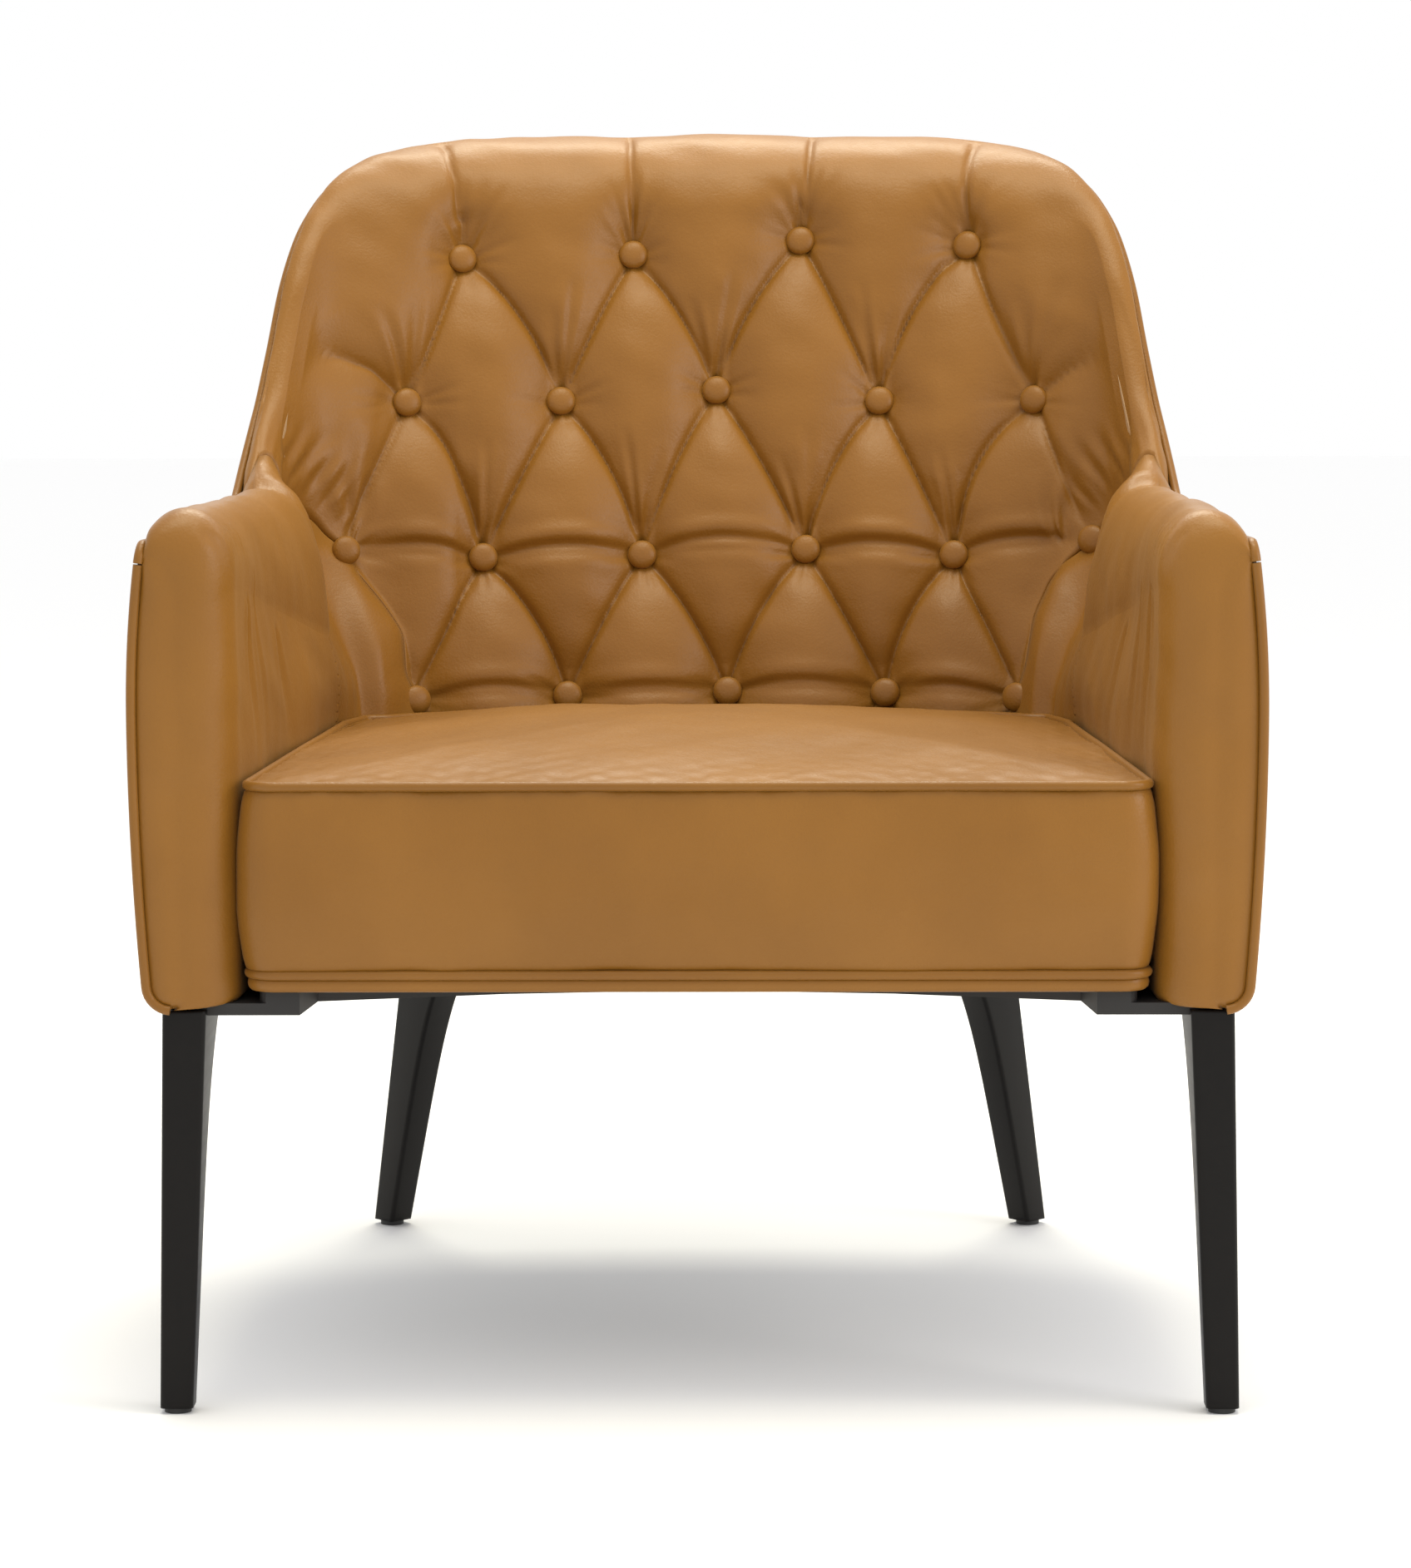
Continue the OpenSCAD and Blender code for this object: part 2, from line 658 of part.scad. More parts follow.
module seat_top_panel() {
    color("peru")
        loft(concat(
            [for (i = [len(top_shares) - 1 : -1 : 0]) top_ring(top_shares[i], leather_t)],
            [for (s = top_shares) top_ring(s, 0)]
        ), flip = true);
}
module seat_border() {
    top = seat_h - piping_r - fit;
    low = seat_bottom_h + lower_piping_rise + piping_r + fit;
    mid = (top + low) / 2;
    color("peru")
        ring_loft([
            level_ring(low, leather_t), level_ring(mid, leather_t - border_bulge), level_ring(top, leather_t),
            level_ring(top, 0), level_ring(mid, -border_bulge), level_ring(low, 0)
        ]);
}
module seat_base_band() {
    top = seat_bottom_h + lower_piping_rise - piping_r - fit;
    color("peru")
        ring_loft([
            level_ring(seat_bottom_h, leather_t), level_ring(top, leather_t),
            level_ring(top, 0), level_ring(seat_bottom_h, 0)
        ]);
}
module seat_top_piping() {
    color("sienna") ring_bar(level_ring(seat_h, piping_r - 1.5), piping_r);
}
module seat_lower_piping() {
    color("sienna") ring_bar(level_ring(seat_bottom_h + lower_piping_rise, piping_r - 1.5), piping_r);
}

// ---- Seat frame --------------------------------------------------------------------------------

rail_o = skin_d + piping_d;
joint_gap = 4;
module rail(runs) {
    outside = [for (l = runs) seat_side(l, seat_bottom_h, rail_o)];
    inside = [for (i = [len(runs) - 1 : -1 : 0]) seat_side(runs[i], seat_bottom_h, rail_o + rail_t)];
    color("burlywood")
        translate([0, 0, seat_bottom_h]) linear_extrude(rail_h) polygon(concat(outside, inside));
}
rail_front_y = seat_front_y + rail_o;
rail_front_l = shell_l - (seat_inset + rail_o + rail_t + joint_gap) / sin(side_angle);
module right_seat_rail() rail([rail_front_l, corner_end_l + fit]);
module left_seat_rail() mirrored() right_seat_rail();
module rear_right_corner_rail() rail(run_steps(corner_end_l, bow_l + fit, 6));
module rear_left_corner_rail() mirrored() rear_right_corner_rail();
module rear_seat_rail() rail(run_steps(-bow_l, bow_l, 6));
module front_seat_rail() {
    half = seat_side(rail_front_l, seat_bottom_h, rail_o).x - seat_corner_r / 3;
    color("burlywood")
        translate([-half, rail_front_y, seat_bottom_h]) cube([2 * half, rail_t, rail_h]);
}
corner_block = 60;
block_end = 12;
module front_corner_blocks() {
    front = seat_side(rail_front_l, seat_bottom_h, rail_o + rail_t + fit);
    rear = seat_side(rail_front_l - corner_block, seat_bottom_h, rail_o + rail_t + fit);
    y = rail_front_y + rail_t + fit;
    color("burlywood")
        for (side = [0, 1])
            mirror([side, 0, 0])
                translate([0, 0, seat_bottom_h])
                    linear_extrude(rail_h)
                        polygon([
                            [front.x, y], rear, [rear.x - block_end, rear.y],
                            [front.x - corner_block, y + block_end], [front.x - corner_block, y]
                        ]);
}

// Zigzag springs, laid from the front rail to the rear rail and held in clips
spring_front_y = rail_front_y + rail_t / 2;
spring_rear_y = seat_side(0, seat_bottom_h, rail_o + rail_t / 2).y;
spring_spacing = 90;
spring_half_w = 24;
spring_bends = 11;
spring_h = rail_top_h + wire_d / 2 + fit / 2;
function spring_x(i) = (i - (spring_count - 1) / 2) * spring_spacing;
module zigzag_springs() {
    steps = spring_bends * 4;
    color("dimgray")
        for (i = [0 : spring_count - 1])
            sweep_bar(
                [for (k = [0 : steps])
                    let (
                        wave = sin(180 * k / 4),
                        x = spring_x(i) + spring_half_w * sign(wave) * pow(abs(wave), 0.6),
                        y = spring_front_y + (spring_rear_y - spring_front_y) * k / steps
                    )
                        [x, y, spring_h]],
                wire_d / 2, 6
            );
}
module spring_clips() {
    color("silver")
        for (i = [0 : spring_count - 1])
            for (end = [[spring_front_y, 1], [spring_rear_y, -1]])
                translate([spring_x(i) - clip_w / 2, end[0], rail_top_h])
                    mirror([0, end[1] > 0 ? 0 : 1, 0])
                        translate([0, -wire_d / 2 - fit - clip_t, 0])
                            difference() {
                                cube([clip_w, clip_l, wire_d + fit + clip_t]);
                                translate([-1, clip_t, -1]) cube([clip_w + 2, clip_l, wire_d + 2 * fit + 1]);
                            }
}

// ---- Base and legs -----------------------------------------------------------------------------

base_margin = 14;
base_bottom_h = shell_bottom_h - base_t;
leg_h = base_bottom_h - plate_t;
tab_w = 85;
tab_flare = 7;
tab_inner_x = front_foot_x - tab_w;
front_bow = 45;
function base_side(l) = let (p = wall_point(l, shell_bottom_h, base_margin)) [p.x, p.y];
base_half = concat(
    [[0, front_y + base_inset + front_bow], [tab_inner_x / 2, front_y + base_inset + front_bow * 2 / 3]],
    [[tab_inner_x - tab_flare, front_y + base_inset], [tab_inner_x, front_y + base_margin]],
    [base_side(shell_l - base_margin)],
    [for (i = [0 : 10]) base_side(corner_end_l - corner_l * i / 10)],
    [base_side(0)]
);
base_outline = concat(
    base_half,
    [for (i = [len(base_half) - 2 : -1 : 1]) [-base_half[i].x, base_half[i].y]]
);

// Leg places: foot centre, turn, splay and top width
leg_sites = [
    [[-front_foot_x, -front_foot_y], 90, front_splay, 1],
    [[front_foot_x, -front_foot_y], 90, front_splay, -1],
    [[-rear_foot_x, rear_foot_y], -45, rear_splay, 0],
    [[rear_foot_x, rear_foot_y], -135, rear_splay, 0]
];
function leg_depth(z) =
    let (s = z / leg_h)
    foot_w + (leg_top_depth - foot_w) * (0.28 * s + 0.72 * pow(s, 6));
function leg_width(z) = foot_w + (leg_top_w - foot_w) * z / leg_h;

// Rounded section of a leg at a height: u runs toward the chair, v across
function leg_section(z, u_shift, v_shift) =
    let (
        w = leg_width(z) / 2 - leg_edge_r,
        u0 = u_shift * z / leg_h - foot_w / 2 + leg_edge_r,
        u1 = u0 + leg_depth(z) - 2 * leg_edge_r,
        v = v_shift * z / leg_h,
        corners = [[u1, v + w], [u0, v + w], [u0, v - w], [u1, v - w]]
    )
    [for (i = [0 : 3])
        for (q = [0 : 30 : 90])
            let (turn = 90 * i + q)
                [corners[i].x + leg_edge_r * cos(turn), corners[i].y + leg_edge_r * sin(turn), z]];
leg_levels = [glide_t, 40, 80, 120, 150, 180, 200, 216, 230, 242, 252, 259];
function leg_u_shift(site) = site[3] == 0 ? site[2] : 0;
function leg_v_shift(site) = site[3] == 0 ? 0 : -site[3] * site[2];
module leg(site) {
    translate([site[0].x, site[0].y, 0])
        rotate([0, 0, site[1]])
            difference() {
                loft(
                    [for (z = concat(leg_levels, [leg_h]))
                        leg_section(z, leg_u_shift(site), leg_v_shift(site))],
                    flip = true
                );
                for (u = bolt_places)
                    translate([leg_u_shift(site) + u, leg_v_shift(site), leg_h - bolt_depth])
                        cylinder(d = bolt_d + fit, h = bolt_depth + 1, $fn = facets);
                translate([0, 0, -1])
                    cylinder(d = glide_pin_d + fit, h = glide_t + glide_pin_h + 1, $fn = facets);
            }
}
bolt_depth = 45;
bolt_places = [2, foot_w + 2];
module front_left_leg() color("#1c1a19") leg(leg_sites[0]);
module front_right_leg() color("#1c1a19") leg(leg_sites[1]);
module rear_left_leg() color("#1c1a19") leg(leg_sites[2]);
module rear_right_leg() color("#1c1a19") leg(leg_sites[3]);

plate_margin = 2;
plate_size = [leg_top_depth - 2 * plate_margin, leg_top_w - 2 * plate_margin, plate_t];
module leg_plates() {
    color("#202020")
        for (site = leg_sites)
            translate([site[0].x, site[0].y, leg_h])
                rotate([0, 0, site[1]])
                    translate([leg_u_shift(site), leg_v_shift(site), 0])
                        difference() {
                            translate([plate_margin - foot_w / 2, plate_margin - leg_top_w / 2, 0])
                                cube(plate_size);
                            for (u = bolt_places)
                                translate([u, 0, -1])
                                    cylinder(d = bolt_d + fit, h = plate_t + 2, $fn = facets);
                        }
}
module at_bolts() {
    for (site = leg_sites)
        translate([site[0].x, site[0].y, 0])
            rotate([0, 0, site[1]])
                for (u = bolt_places)
                    translate([leg_u_shift(site) + u, leg_v_shift(site), 0]) children();
}
module leg_bolts() {
    color("silver")
        at_bolts()
            translate([0, 0, leg_h - bolt_depth + 1])
                cylinder(d = bolt_d, h = bolt_depth + plate_t + base_t - 2, $fn = facets);
}
module base_board() {
    color("#252423")
        difference() {
            union() {
                translate([0, 0, base_bottom_h]) linear_extrude(base_t) polygon(base_outline);
                translate([0, 0, shell_bottom_h - eps])
                    linear_extrude(seat_bottom_h - shell_bottom_h + eps)
                        intersection() {
                            polygon(base_outline);
                            polygon(seat_ring(seat_bottom_h, rail_o));
                        }
            }
            at_bolts()
                translate([0, 0, base_bottom_h - 1])
                    cylinder(d = bolt_d + fit, h = base_t + 1 - fit, $fn = facets);
        }
}
dust_cloth_t = 1;
dust_margin = 40;
dust_setback = 60;
dust_front_y = front_y + base_inset + dust_setback;
module dust_cover() {
    color("#181818")
        translate([0, 0, base_bottom_h - dust_cloth_t])
            linear_extrude(dust_cloth_t)
                intersection() {
                    polygon(seat_ring(seat_bottom_h, rail_o + rail_t + dust_margin));
                    translate([-overall_w / 2, dust_front_y]) square([overall_w, overall_d]);
                }
}
glide_pin_d = 5;
glide_pin_h = 12;
glide_d = 18;
module foot_glides() {
    color("dimgray")
        for (site = leg_sites)
            translate([site[0].x, site[0].y, 0]) {
                cylinder(d = glide_d, h = glide_t, $fn = facets);
                cylinder(d = glide_pin_d, h = glide_t + glide_pin_h - fit, $fn = facets);
            }
}

back_foam();
back_cover();
left_arm_foam();
right_arm_foam();
left_arm_cover();
right_arm_cover();
back_panel();
left_arm_panel();
right_arm_panel();
outer_back_padding();
left_outer_padding();
right_outer_padding();
outer_back_cover();
left_outer_cover();
right_outer_cover();
shell_edge_piping();
left_arm_front_piping();
right_arm_front_piping();
tuft_buttons();
seat_foam();
spring_deck_cloth();
seat_top_panel();
seat_border();
seat_base_band();
seat_top_piping();
seat_lower_piping();
front_seat_rail();
left_seat_rail();
right_seat_rail();
rear_seat_rail();
rear_left_corner_rail();
rear_right_corner_rail();
front_corner_blocks();
zigzag_springs();
spring_clips();
base_board();
dust_cover();
leg_plates();
leg_bolts();
front_left_leg();
front_right_leg();
rear_left_leg();
rear_right_leg();
foot_glides();
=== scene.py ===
# Upholstered armchair: the looks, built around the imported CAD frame.
# Lengths are metres, +Z is up, and the chair faces -Y with its middle on x = 0.
import math

import bmesh
import bpy
import numpy as np
from mathutils import Matrix, Vector


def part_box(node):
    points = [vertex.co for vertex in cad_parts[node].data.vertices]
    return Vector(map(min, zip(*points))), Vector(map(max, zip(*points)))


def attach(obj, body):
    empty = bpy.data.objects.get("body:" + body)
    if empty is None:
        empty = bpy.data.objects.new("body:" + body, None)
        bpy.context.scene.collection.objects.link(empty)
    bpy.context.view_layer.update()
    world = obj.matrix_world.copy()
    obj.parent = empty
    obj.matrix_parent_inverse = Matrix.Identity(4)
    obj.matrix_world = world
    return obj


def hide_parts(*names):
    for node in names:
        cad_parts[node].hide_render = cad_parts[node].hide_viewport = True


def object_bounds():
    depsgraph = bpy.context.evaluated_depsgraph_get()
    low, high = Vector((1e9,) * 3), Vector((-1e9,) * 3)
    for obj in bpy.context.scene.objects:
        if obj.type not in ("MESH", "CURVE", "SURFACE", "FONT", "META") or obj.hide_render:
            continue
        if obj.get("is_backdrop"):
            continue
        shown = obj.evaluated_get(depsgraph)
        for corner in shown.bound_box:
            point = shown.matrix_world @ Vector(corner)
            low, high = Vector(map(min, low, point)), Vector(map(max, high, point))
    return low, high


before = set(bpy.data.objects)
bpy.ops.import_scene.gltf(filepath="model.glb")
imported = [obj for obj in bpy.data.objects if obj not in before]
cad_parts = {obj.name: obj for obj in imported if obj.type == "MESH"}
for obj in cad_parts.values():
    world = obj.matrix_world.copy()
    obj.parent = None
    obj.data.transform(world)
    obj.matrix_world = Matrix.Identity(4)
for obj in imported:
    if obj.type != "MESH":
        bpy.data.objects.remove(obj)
cad_low, cad_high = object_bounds()

# ---- Camera -------------------------------------------------------------------------------------
# A long lens a little above the back, looking slightly down at the front of the chair.


def new_object(name, data):
    """Puts a new object into the scene."""
    made = bpy.data.objects.new(name, data)
    bpy.context.collection.objects.link(made)
    return made


camera_place = (0.0455, -3.5118, 0.7969)
camera_turns = ((0.73, "Z"), (90 - 6.81, "X"), (-0.17, "Z"))
camera_data = bpy.data.cameras.new("camera")
camera_data.sensor_width = 36
camera_data.lens = 110.8
camera = new_object("camera", camera_data)
camera_view = Matrix.Translation(camera_place)
for degrees, axis in camera_turns:
    camera_view = camera_view @ Matrix.Rotation(math.radians(degrees), 4, axis)
camera.matrix_world = camera_view
bpy.context.scene.camera = camera

# ---- Outside of the shell -----------------------------------------------------------------------
# Smooth leather over a thin layer of wadding, pulled over the moulded plywood: one panel across the
# back and one along each side, sewn together at the rear corners and turned in under the frame.

# Plan of the outside: a bowed back, a tighter corner and a nearly straight side
welt_radius = 0.00325
welt_proud = 0.0025
corner_radius = 0.196
bow_angle = math.radians(8)
side_angle = math.radians(89)
lean = math.tan(math.radians(13))
lean_height = 0.430
shell_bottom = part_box("back_cover")[0].z
half_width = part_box("right_outer_cover")[1].x
back_edge = cad_high[2] - 0.014
arm_edge = 0.580
arm_fall = 0.015
belly_height = 0.466
belly_tuck = 0.008
edge_corner_radius = 0.012
slope_step = 0.012

front_y = welt_proud - cad_high[1]
bow_middle_y = cad_high[1] - welt_proud - lean * (back_edge - lean_height)
corner_dx = corner_radius * (math.sin(side_angle) - math.sin(bow_angle))
corner_dy = corner_radius * (math.cos(bow_angle) - math.cos(side_angle))
bow_slope = math.tan(bow_angle / 2)
side_slope = 1 / math.tan(side_angle)
side_depth = bow_middle_y + corner_dx * bow_slope - corner_dy - front_y
side_x = (half_width - side_slope * side_depth) / (1 - bow_slope * side_slope)
bow_x = side_x - corner_dx
bow_radius = bow_x / math.sin(bow_angle)
bow_y = bow_middle_y - bow_radius * (1 - math.cos(bow_angle))
corner_y = bow_y - corner_dy
bow_run = bow_radius * bow_angle
corner_run = bow_run + corner_radius * (side_angle - bow_angle)
side_run = (corner_y - front_y) / math.sin(side_angle)
front_run = corner_run + side_run

# Fall of the piped edge from the back (1) to the arms (0), against the plan angle
wing_angles = np.radians([0, 8, 17, 30, 38, 43, 48, 52, 57, 62, 68, 79, 90])
wing_shares = np.array([1, 0.99, 0.98, 0.95, 0.92, 0.88, 0.815, 0.745, 0.615, 0.44, 0.28, 0.1, 0])


def plan_angle(run):
    """Direction of the shell at a run along its outside from the middle of the back."""
    along = np.abs(run)
    corner = bow_angle + (along - bow_run) / corner_radius
    return np.where(along <= bow_run, along / bow_radius, np.where(along <= corner_run, corner, side_angle))


def plan(run):
    """Point of the outside seen from above, and the direction that it faces."""
    angle, along = plan_angle(run), np.abs(run)
    sine, cosine = np.sin(angle), np.cos(angle)
    straight = along - corner_run
    corner_x = bow_x + corner_radius * (sine - math.sin(bow_angle))
    corner_rise = bow_y + corner_radius * (cosine - math.cos(bow_angle))
    x = np.where(along <= corner_run, corner_x, side_x + straight * cosine)
    y = np.where(along <= corner_run, corner_rise, corner_y - straight * sine)
    x = np.where(along <= bow_run, bow_radius * sine, x)
    y = np.where(along <= bow_run, bow_middle_y - bow_radius * (1 - cosine), y)
    side = np.sign(run)
    return side * x, y, side * sine, cosine


def lean_share(run):
    """How much of the back's lean the shell has at a run: all of it in the middle, none on the sides."""
    return np.cos(plan_angle(run) / side_angle * math.pi / 2)


def belly(run, height):
    """How far the wall draws in below and above its fullest height."""
    low = (belly_height - height) / (belly_height - shell_bottom)
    high = np.clip((height - belly_height) / (arm_edge - belly_height), 0, 1)
    tuck = np.where(height < belly_height, low * low, high * high * (1 - lean_share(run)))
    return -belly_tuck * tuck


def wall(run, height, depth):
    """Points of the shell's wall at a depth inward from its outside."""
    run, height, depth = np.broadcast_arrays(run, height, depth)
    x, y, facing_x, facing_y = plan(run)
    out = belly(run, height) - depth
    leaned = lean * (height - lean_height) * lean_share(run)
    return np.stack([x + facing_x * out, y + facing_y * out + leaned, height], axis=-1)


def wing_share(angle):
    """Height of the piped edge on the wings as a share, by a smooth curve through the table."""
    gaps = np.diff(wing_angles)
    i = np.clip(np.searchsorted(wing_angles, angle, side="right") - 1, 0, len(gaps) - 1)
    before, after = np.maximum(i - 1, 0), np.minimum(i + 2, len(gaps))
    rise = wing_shares[i + 1] - wing_shares[i]
    slope_in = (wing_shares[i + 1] - wing_shares[before]) / (wing_angles[i + 1] - wing_angles[before])
    slope_out = (wing_shares[after] - wing_shares[i]) / (wing_angles[after] - wing_angles[i])
    t = np.clip((angle - wing_angles[i]) / gaps[i], 0, 1)
    slope_in, slope_out = slope_in * gaps[i], slope_out * gaps[i]
    square, cube = 3 * rise - 2 * slope_in - slope_out, slope_in + slope_out - 2 * rise
    return wing_shares[i] + slope_in * t + square * t ** 2 + cube * t ** 3


def arm_share(run):
    """How far along an arm a run lies: 0 at its rear corner and 1 at its front."""
    return np.clip((np.abs(run) - corner_run) / side_run, 0, 1)


def back_share(run):
    """How much of the back's height the piped edge has at a run."""
    return np.where(np.abs(run) > corner_run, 0, wing_share(plan_angle(run)))


def edge_height(run):
    """Height of the piped edge."""
    low = arm_edge - arm_fall * (1 - arm_share(run))
    return low + (back_edge - low) * back_share(run)


def corner_drop(run):
    """Fall of the piped edge where it rounds the front corner of an arm."""
    into = np.clip(np.abs(run) - (front_run - edge_corner_radius), 0, edge_corner_radius)
    return edge_corner_radius - np.sqrt(edge_corner_radius ** 2 - into ** 2)


def edge_stretch(run):
    """Height that a slanting edge takes up for each unit square to it."""
    ahead, behind = edge_height(np.abs(run) + slope_step), edge_height(np.abs(run) - slope_step)
    return np.sqrt(1 + ((ahead - behind) / (2 * slope_step)) ** 2)


def smooth_step(x):
    """Eases from 0 to 1."""
    x = np.clip(x, 0, 1)
    return x * x * (3 - 2 * x)


def ripples(points, size, seed, waves=24):
    """Soft irregular waviness between about -1 and 1, the same for the same seed."""
    rng = np.random.default_rng(seed)
    total = np.zeros(points.shape[:-1])
    for _ in range(waves):
        direction = rng.normal(size=3)
        direction *= 2 * math.pi / size * rng.uniform(0.5, 1.6) / np.linalg.norm(direction)
        total += np.sin(points @ direction + rng.uniform(0, 2 * math.pi))
    return total / math.sqrt(waves)


def grid_mesh(name, points, ring=False, ends=None):
    """Closed loft through rows of points, each row a loop. The rows end in caps or, as a ring, join up.
    Faces that close one row are given as ends where a plain cap would cross itself."""
    count, around = points.shape[:2]
    here = np.arange(count * around).reshape(count, around)
    beyond = np.roll(here, -1, axis=0) if ring else here[1:]
    faces = here if ring else here[:-1]
    faces = np.stack([faces, np.roll(faces, -1, axis=1), np.roll(beyond, -1, axis=1), beyond], axis=-1)
    faces = faces.reshape(-1, 4)
    a, b, c, d = (points.reshape(-1, 3)[faces[:, k]] for k in range(4))
    volume = np.einsum("ij,ij->i", a, np.cross(b, c)).sum() + np.einsum("ij,ij->i", a, np.cross(c, d)).sum()
    local = [] if ring else ends or [tuple(range(around))]
    caps = [here[0][list(face)[::-1]].tolist() for face in local]
    caps += [here[-1][list(face)].tolist() for face in local]
    mesh = bpy.data.meshes.new(name)
    mesh.from_pydata(points.reshape(-1, 3).tolist(), [], faces.tolist() + caps)
    if volume < 0:
        mesh.flip_normals()
    shaped = bmesh.new()
    shaped.from_mesh(mesh)
    bmesh.ops.remove_doubles(shaped, verts=shaped.verts, dist=2e-5)
    shaped.to_mesh(mesh)
    shaped.free()
    mesh.shade_smooth()
    return new_object(name, mesh)


def add_node(tree, kind, settings=None, **inputs):
    """Adds a node with its settings. Each input, by its name or as in0, in1 and so on, is a value, a socket
    that feeds it, or a node that feeds it with its first output."""
    node = tree.nodes.new(kind)
    for key, value in (settings or {}).items():
        setattr(node, key, value)
    for label, value in inputs.items():
        numbered = label.startswith("in") and label[2:].isdigit()
        socket = node.inputs[int(label[2:]) if numbered else label.replace("_", " ")]
        if isinstance(value, bpy.types.Node):
            value = value.outputs[0]
        if isinstance(value, bpy.types.NodeSocket):
            tree.links.new(value, socket)
        else:
            socket.default_value = value
    return node


def pattern(name):
    """A new shader group, and the place on the piece that it starts from."""
    group = bpy.data.node_groups.new(name, "ShaderNodeTree")
    return group, group.nodes.new("ShaderNodeTexCoord").outputs["Object"]


def put_out(group, tone, height):
    """Ends a shader group with its two values: Tone mixes the colours and Height embosses."""
    for label in ("Tone", "Height"):
        group.interface.new_socket(label, in_out="OUTPUT", socket_type="NodeSocketFloat")
    add_node(group, "NodeGroupOutput", Tone=tone, Height=height)


sheen_tint = (1.0, 0.84, 0.56)


def surface(name, group, light, deep, roughness, bump, metallic=0.0, sheen=0.0, specular=0.5):
    """A material that mixes two colours by a pattern's Tone and is embossed by its Height."""
    material = bpy.data.materials.new(name)
    material.use_nodes = True
    tree = material.node_tree
    tree.nodes.clear()
    values = add_node(tree, "ShaderNodeGroup", {"node_tree": group}).outputs
    tone, height = values["Tone"], values["Height"]
    mix = add_node(tree, "ShaderNodeMix", {"data_type": "RGBA"}, Factor=tone, in6=(*deep, 1), in7=(*light, 1))
    relief = add_node(tree, "ShaderNodeBump", Strength=bump[0], Distance=bump[1], Height=height)
    rough = add_node(tree, "ShaderNodeMapRange", Value=height, To_Min=roughness[0], To_Max=roughness[1])
    shader = add_node(
        tree, "ShaderNodeBsdfPrincipled", Base_Color=mix.outputs[2], Roughness=rough,
        Normal=relief, Metallic=metallic, Sheen_Weight=sheen, Sheen_Tint=(*sheen_tint, 1),
        Specular_IOR_Level=specular
    )
    add_node(tree, "ShaderNodeOutputMaterial", Surface=shader)
    return material


def finished(piece, material, nodes):
    """Gives a piece its material, hangs it on the frame and hides the CAD nodes that it stands for."""
    piece.data.materials.clear()
    piece.data.materials.append(material)
    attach(piece, "root")
    if nodes:
        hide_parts(*nodes)


# Leather: cloudy tone, a fine pebbled grain and shallow creases between its cells
leather_grain, place = pattern("leather_grain")
cloud = add_node(leather_grain, "ShaderNodeTexNoise", Vector=place, Scale=7.0, Detail=4.0, Roughness=0.55)
cells = add_node(leather_grain, "ShaderNodeTexVoronoi", {"feature": "SMOOTH_F1"}, Vector=place, Scale=620.0)
pores = add_node(leather_grain, "ShaderNodeTexNoise", Vector=place, Scale=210.0, Detail=5.0, Roughness=0.6)
grain = add_node(
    leather_grain, "ShaderNodeMath", {"operation": "MULTIPLY_ADD"}, in0=cells.outputs["Distance"], in1=-0.55,
    in2=pores
)
tone = add_node(
    leather_grain, "ShaderNodeMapRange", {"interpolation_type": "SMOOTHSTEP"}, Value=cloud,
    From_Min=0.25, From_Max=0.75
)
put_out(leather_grain, tone, grain)
leather_look = {"roughness": (0.38, 0.50), "bump": (0.30, 0.0007), "sheen": 0.06, "specular": 0.34}
leather = surface("tan_leather", leather_grain, (0.256, 0.107, 0.011), (0.218, 0.088, 0.007), **leather_look)

outer_rows = 90
outer_thickness = 0.0083
outer_bottom_radius = 0.015
outer_bottom = shell_bottom - 0.0025
outer_seam_run = 0.311
outer_seam_dip = 0.0022
outer_top_dip = 0.0016
dip_width = 0.003
welt_overlap = 0.0006
outer_wave = 0.0007
outer_ripple = 0.00025
tucked_height = shell_bottom - 0.0004


def outer_loops(runs, seam_distance):
    """Closed sections of the outer layer: down the leather, round under the frame, and up the plywood."""
    rows = np.linspace(0, 1, outer_rows)
    turn = np.linspace(0, math.pi / 2, 8)[1:]
    roll = outer_bottom + outer_bottom_radius
    loops = []
    for run, distance in zip(runs, seam_distance):
        top = float(edge_height(run) - (welt_radius - welt_overlap) * edge_stretch(run) - corner_drop(run))
        seam = outer_seam_dip * math.exp(-distance / dip_width)
        heights = top + (roll - top) * rows
        depths = outer_top_dip * np.exp(-(top - heights) / dip_width) + seam
        heights = np.append(heights, roll - outer_bottom_radius * np.sin(turn))
        depths = np.append(depths, outer_bottom_radius * (1 - np.cos(turn)) + seam)
        heights = np.append(heights, [tucked_height, tucked_height, shell_bottom + 0.05, top - 0.001])
        depths = np.append(depths, [outer_bottom_radius + 0.002] + 3 * [outer_thickness])
        loops.append(wall(run, heights, depths))
    points = np.array(loops)
    face = points[:, :outer_rows]
    easing = np.minimum(rows * 8, 1) * np.minimum((1 - rows) * 8, 1)
    swell = outer_wave * ripples(face, 0.11, seed=4) + outer_ripple * ripples(face, 0.035, seed=5)
    facing = np.stack(plan(np.array(runs))[2:], axis=-1)
    face[..., :2] += (swell * easing)[..., None] * facing[:, None, :]
    return points


def seam_spacing(start, end, step=0.006):
    """Runs from one seam to the other, closer together next to the seams."""
    near = np.array([0, 0.0008, 0.0016, 0.0028, 0.0048])
    inner = np.linspace(start + 0.008, end - 0.008, int((end - start) / step))
    return np.concatenate([start + near, inner, end - near[::-1]])


